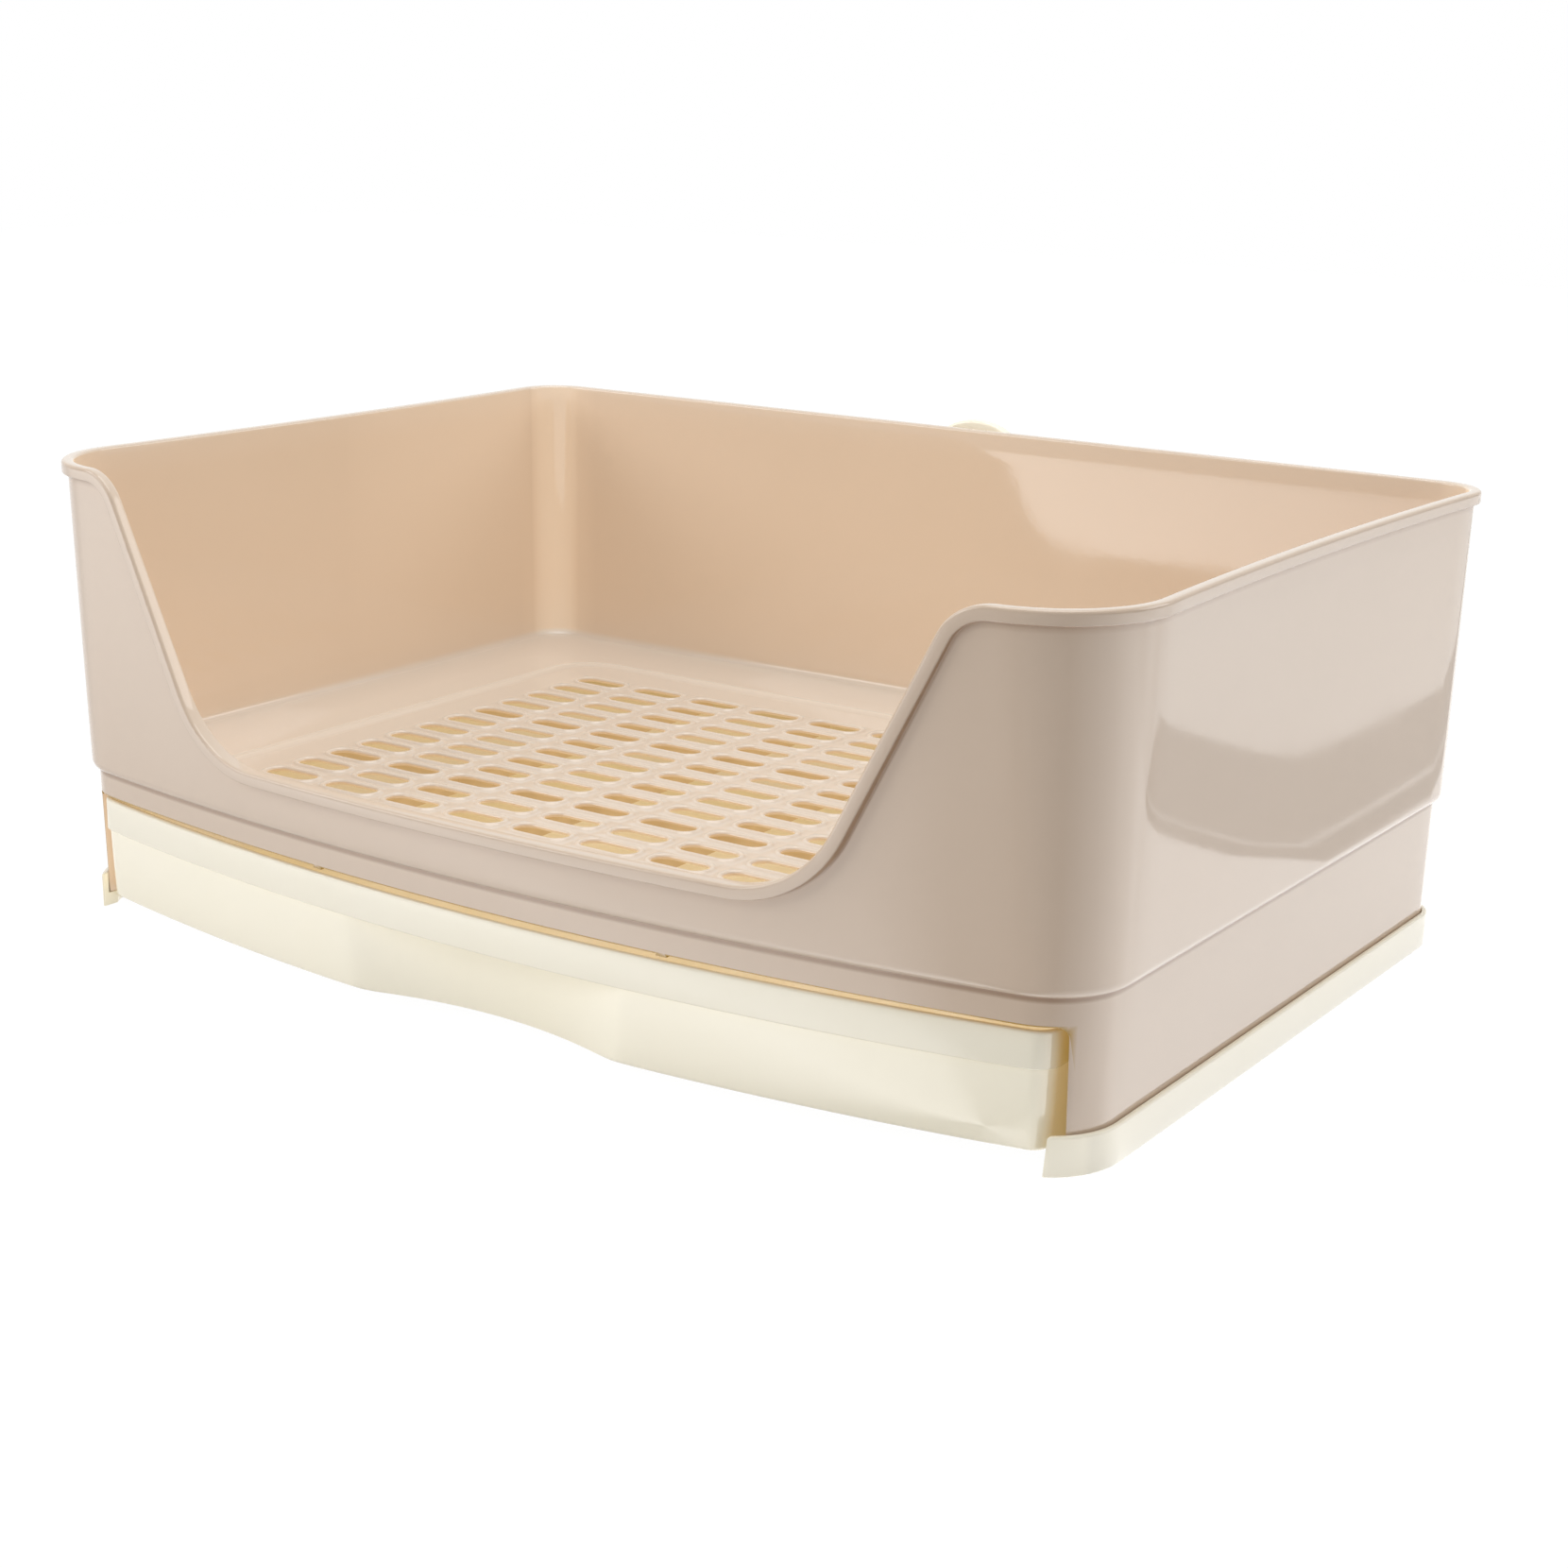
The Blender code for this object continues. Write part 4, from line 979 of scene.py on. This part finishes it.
def polypropylene(name, light, deep, walls, floors, golden, glow_scale):
    """Injection-moulded polypropylene with a polished skin: an even colour with faint clouding from the flow
    of the melt, a slight orange peel, and patches dulled by handling. A painted glow stands in for the daylight
    that soaks through the thin walls and gives the inside a warm tint, and painted brown and golden shade
    darkens the grooves, the drawer's inside, and the edges of the drawer's opening and its bay."""
    material = bpy.data.materials.new(name)
    material.use_nodes = True
    tree = material.node_tree
    tree.nodes.clear()
    place = add_node(tree, 'ShaderNodeTexCoord').outputs["Object"]
    clouds = add_node(tree, 'ShaderNodeTexNoise', {"Vector": place, "Scale": 1 / CLOUD_WIDTH, "Detail": 3.0,
                                                   "Roughness": 0.55})
    colour = add_node(tree, 'ShaderNodeMix', {"Factor": clouds.outputs["Fac"], "A": linear(light), "B": linear(deep)},
                      data_type='RGBA')
    peel = add_node(tree, 'ShaderNodeTexNoise', {"Vector": place, "Scale": 1 / PEEL_WIDTH, "Detail": 2.0})
    bump = add_node(tree, 'ShaderNodeBump', {"Height": peel.outputs["Fac"], "Strength": 0.05, "Distance": 0.0002})
    marks = add_node(tree, 'ShaderNodeTexNoise', {"Vector": place, "Scale": 1 / MARK_WIDTH, "Detail": 4.0})
    dull = add_node(tree, 'ShaderNodeMapRange', {"Value": marks.outputs["Fac"], "From Min": 0.3, "From Max": 0.7,
                                                 "To Min": 0.05, "To Max": 0.09})
    # Painted shade: a soft brown in the grooves, and less of it on the drawer's inside
    painted_shade = add_node(tree, 'ShaderNodeAttribute', attribute_name="painted_shade")
    hold = add_node(tree, 'ShaderNodeMath', {0: painted_shade.outputs["Fac"], 1: 0.7}, operation='MULTIPLY', use_clamp=True)
    shaded = add_node(tree, 'ShaderNodeMix', {"Factor": hold.outputs[0], "A": colour.outputs["Result"],
                                              "B": linear("#A98863")}, data_type='RGBA', blend_type='MULTIPLY')
    # Painted golden shade and glow, where light would have passed through the most plastic
    deep_light = add_node(tree, 'ShaderNodeAttribute', attribute_name="painted_gold")
    painted_gold_shade = add_node(tree, 'ShaderNodeMix', {"Factor": deep_light.outputs["Fac"], "A": shaded.outputs["Result"],
                                            "B": linear(golden)}, data_type='RGBA', blend_type='MULTIPLY')
    # Painted glow in place of light that soaks through, only where the mesh is marked, with its own tint on walls
    # and on floors
    painted_glow = add_node(tree, 'ShaderNodeAttribute', attribute_name="painted_glow")
    glow = add_node(tree, 'ShaderNodeMath', {0: painted_glow.outputs["Fac"], 1: glow_scale}, operation='MULTIPLY')
    upward = add_node(tree, 'ShaderNodeAttribute', attribute_name="level")
    soft = add_node(tree, 'ShaderNodeMix', {"Factor": upward.outputs["Fac"], "A": linear(walls), "B": linear(floors)},
                    data_type='RGBA')
    tint = add_node(tree, 'ShaderNodeMix', {"Factor": deep_light.outputs["Fac"], "A": soft.outputs["Result"],
                                            "B": linear(golden)}, data_type='RGBA')
    shader = add_node(tree, 'ShaderNodeBsdfPrincipled', {
        "Base Color": painted_gold_shade.outputs["Result"], "Roughness": dull.outputs["Result"], "Normal": bump.outputs["Normal"],
        "IOR": 1.49, "Emission Color": tint.outputs["Result"], "Emission Strength": glow.outputs[0]})
    add_node(tree, 'ShaderNodeOutputMaterial', {"Surface": shader.outputs[0]})
    return material


# Floor, backdrop, lights and camera
# How bright the lit table looks in the tray's gloss, all round it: (share of the turn, strength)
TABLE_LIGHT = ((0.0, 1.2), (0.167, 1.0), (0.244, 1.2), (0.289, 3.2), (0.322, 4.6), (0.417, 3.5), (0.453, 1.9),
               (0.5, 1.5), (0.644, 1.2), (0.711, 2.3), (0.806, 3.7), (0.875, 3.5), (0.908, 2.4), (0.944, 2.2),
               (1.0, 1.6))
TABLE_BRIGHTEST = 4.6
TABLE_HALF = 3.0
TABLE_THICKNESS = 0.02
TABLE_GLOW = 1.08
TRAY_CORNER = (0.17, -0.15)

# Dark card painted into the table's glow to the right, seen only in the gloss as a painted reflection: where
# its parts start and how much they dim or lift
CARD_NEAR = (("X", 0.264, 0.270), ("Y", 0.184, 0.190))
CARD_FAR = (("X", 0.352, 0.358), ("Y", 0.347, 0.353))
CARD_EDGE_NEAR = (("X", 0.284, 0.287), ("Y", 0.205, 0.208))
CARD_EDGE_FAR = (("X", 0.289, 0.292), ("Y", 0.210, 0.213))
CARD_END = ("X", 0.405, 0.425)
CLOSE_END = ("X", 0.20, 0.22)
CARD_DIMS = 0.42
CARD_RIM_LIFTS = 0.3
CARD_SHADE = 0.03
CLOSE_LIFTS = 0.12


def white_floor():
    """Matt white sweep that reads as plain white and keeps a faint shadow. In the tray's gloss it shows as
    it is lit: brightest in front of the windows, and dimmer towards the camera."""
    mesh = box((-TABLE_HALF, -TABLE_HALF, -TABLE_THICKNESS), (TABLE_HALF, TABLE_HALF, -GAP))
    floor = new_object("floor", mesh)
    material = bpy.data.materials.new("white_sweep_paper")
    material.use_nodes = True
    tree = material.node_tree
    tree.nodes.clear()
    path = add_node(tree, 'ShaderNodeLightPath')
    place = add_node(tree, 'ShaderNodeTexCoord').outputs["Object"]
    matt = add_node(tree, 'ShaderNodeBsdfDiffuse', {"Color": linear("#DADADA")})
    glow = add_node(tree, 'ShaderNodeEmission', {"Color": (1.0, 1.0, 1.0, 1.0), "Strength": TABLE_GLOW})
    share = add_node(tree, 'ShaderNodeMath', {0: path.outputs["Is Camera Ray"], 1: 0.9}, operation='MULTIPLY')
    seen = add_node(tree, 'ShaderNodeMixShader', {0: share.outputs[0], 1: matt.outputs[0], 2: glow.outputs[0]})
    # Direction from the tray's front corner, as a share of the turn: 0.5 is straight ahead of it, more is right
    moved = add_node(tree, 'ShaderNodeVectorMath', {0: place, 1: (*TRAY_CORNER, 0.0)}, operation='SUBTRACT')
    axes = add_node(tree, 'ShaderNodeSeparateXYZ', {0: moved.outputs["Vector"]})
    ahead = add_node(tree, 'ShaderNodeMath', {0: axes.outputs["Y"], 1: -1.0}, operation='MULTIPLY')
    angle = add_node(tree, 'ShaderNodeMath', {0: axes.outputs["X"], 1: ahead.outputs[0]}, operation='ARCTAN2')
    turn = add_node(tree, 'ShaderNodeMapRange', {"Value": angle.outputs[0], "From Min": -pi, "From Max": pi})
    level = add_node(tree, 'ShaderNodeValToRGB', {0: turn.outputs["Result"]})
    stops = level.color_ramp.elements
    for place_on, strength in TABLE_LIGHT[1:-1]:
        stops.new(place_on)
    for stop, (place_on, strength) in zip(stops, TABLE_LIGHT):
        stop.position = place_on
        stop.color = (*[strength / TABLE_BRIGHTEST] * 3, 1.0)
    spot = add_node(tree, 'ShaderNodeSeparateXYZ', {0: place})

    def past(axis, low, high):
        return add_node(tree, 'ShaderNodeMapRange', {"Value": spot.outputs[axis], "From Min": low,
                                                     "From Max": high}, interpolation_type='SMOOTHSTEP').outputs[0]

    def joined(operation, *values):
        return add_node(tree, 'ShaderNodeMath', dict(enumerate(values)), operation=operation).outputs[0]

    beyond, before, edge_near, edge_far = [joined('MULTIPLY', past(*across), past(*along)) for across, along in (
        CARD_FAR, CARD_NEAR, CARD_EDGE_NEAR, CARD_EDGE_FAR)]
    end = joined('SUBTRACT', 1.0, past(*CARD_END))
    card = joined('MULTIPLY', joined('SUBTRACT', before, beyond), end)
    rim = joined('MULTIPLY', joined('SUBTRACT', edge_near, edge_far), end)
    lit_card = joined('SUBTRACT', joined('MULTIPLY', card, CARD_DIMS), joined('MULTIPLY', rim, CARD_RIM_LIFTS))
    dimmed = joined('SUBTRACT', 1.0, joined('ADD', lit_card, joined(
        'MULTIPLY', joined('MULTIPLY', joined('SUBTRACT', before, edge_near), end), CARD_SHADE)))
    # The table is brighter close to the tray's right side
    close = joined('MULTIPLY', joined('SUBTRACT', 1.0, before), past(*CLOSE_END))
    nearby = joined('ADD', 1.0, joined('MULTIPLY', close, CLOSE_LIFTS))
    brightness = joined('MULTIPLY', joined('MULTIPLY', level.outputs["Color"], joined('MULTIPLY', dimmed, nearby)),
                        TABLE_BRIGHTEST)
    shine = add_node(tree, 'ShaderNodeEmission', {"Color": (1.0, 1.0, 1.0, 1.0), "Strength": brightness})
    mixed = add_node(tree, 'ShaderNodeMixShader', {0: path.outputs["Is Glossy Ray"], 1: seen.outputs[0],
                                                   2: shine.outputs[0]})
    add_node(tree, 'ShaderNodeOutputMaterial', {"Surface": mixed.outputs[0]})
    mesh.materials.append(material)


def studio_world():
    world = bpy.data.worlds.new("studio")
    bpy.context.scene.world = world
    world.use_nodes = True
    tree = world.node_tree
    tree.nodes.clear()
    path = add_node(tree, 'ShaderNodeLightPath')
    seen = add_node(tree, 'ShaderNodeMath', {0: path.outputs["Is Camera Ray"], 1: path.outputs["Is Transmission Ray"]},
                    operation='MAXIMUM')
    white_in = add_node(tree, 'ShaderNodeMath', {0: seen.outputs[0], 1: path.outputs["Is Glossy Ray"]},
                        operation='MAXIMUM')
    room = add_node(tree, 'ShaderNodeBackground', {"Color": (1.0, 1.0, 1.0, 1.0), "Strength": 0.45})
    white = add_node(tree, 'ShaderNodeBackground', {"Color": (1.0, 1.0, 1.0, 1.0), "Strength": 1.0})
    mixed = add_node(tree, 'ShaderNodeMixShader', {0: white_in.outputs[0], 1: room.outputs[0], 2: white.outputs[0]})
    add_node(tree, 'ShaderNodeOutputWorld', {"Surface": mixed.outputs[0]})


# Lamps: name, place, aim, size and power in watts
LAMPS = (("left_window", (-1.6, -1.6, 1.2), (0.0, 0.0, 0.1), (1.6, 1.2), 22.0),
         ("right_window", (1.4, 1.2, 1.1), (0.0, 0.0, 0.1), (1.2, 1.0), 10.0),
         ("overhead", (0.0, 0.1, 1.9), (0.0, 0.0, 0.0), (1.4, 1.4), 18.0))


def softbox(name, place, aim, size, power):
    lamp = bpy.data.lights.new(name, 'AREA')
    lamp.shape = 'RECTANGLE'
    lamp.size, lamp.size_y = size
    lamp.energy = power
    obj = new_object(name, lamp)
    obj.location = place
    obj.rotation_euler = (Vector(aim) - Vector(place)).to_track_quat('-Z', 'Y').to_euler()


def photo_camera():
    back = Vector((sin(CAMERA_AZIMUTH) * cos(CAMERA_ELEVATION), -cos(CAMERA_AZIMUTH) * cos(CAMERA_ELEVATION),
                   sin(CAMERA_ELEVATION)))
    camera = new_object("photo_camera", bpy.data.cameras.new("photo_camera"))
    camera.data.sensor_fit = 'HORIZONTAL'
    camera.data.sensor_width = CAMERA_SENSOR
    camera.data.lens = CAMERA_LENS
    turn = back.to_track_quat('Z', 'Y').to_matrix().to_4x4()
    camera.matrix_world = (Matrix.Translation(CAMERA_LOOK + CAMERA_DISTANCE * back) @ turn
                           @ Matrix.Rotation(CAMERA_ROLL, 4, 'Z'))
    bpy.context.scene.camera = camera


# Base colours, then the painted glow's tints on walls and on floors, the golden painted shade and glow, and the
# painted glow's strength
beige = polypropylene("beige_polypropylene_moulded", "#CDB7A2", "#C9B39D", "#FFE2BE", "#DCF2F4", "#CCAE40", 0.19)
cream = polypropylene("cream_polypropylene_moulded", "#F9F3E2", "#F7F0DA", "#FFF6DC", "#FFF0B8", "#C09030", 0.21)
make_enclosure(beige)
make_grate(beige)
make_drawer(cream)
make_base(cream)
make_knob(cream)

white_floor()
studio_world()
for lamp in LAMPS:
    softbox(*lamp)
photo_camera()
bpy.context.scene.view_settings.view_transform = 'Standard'
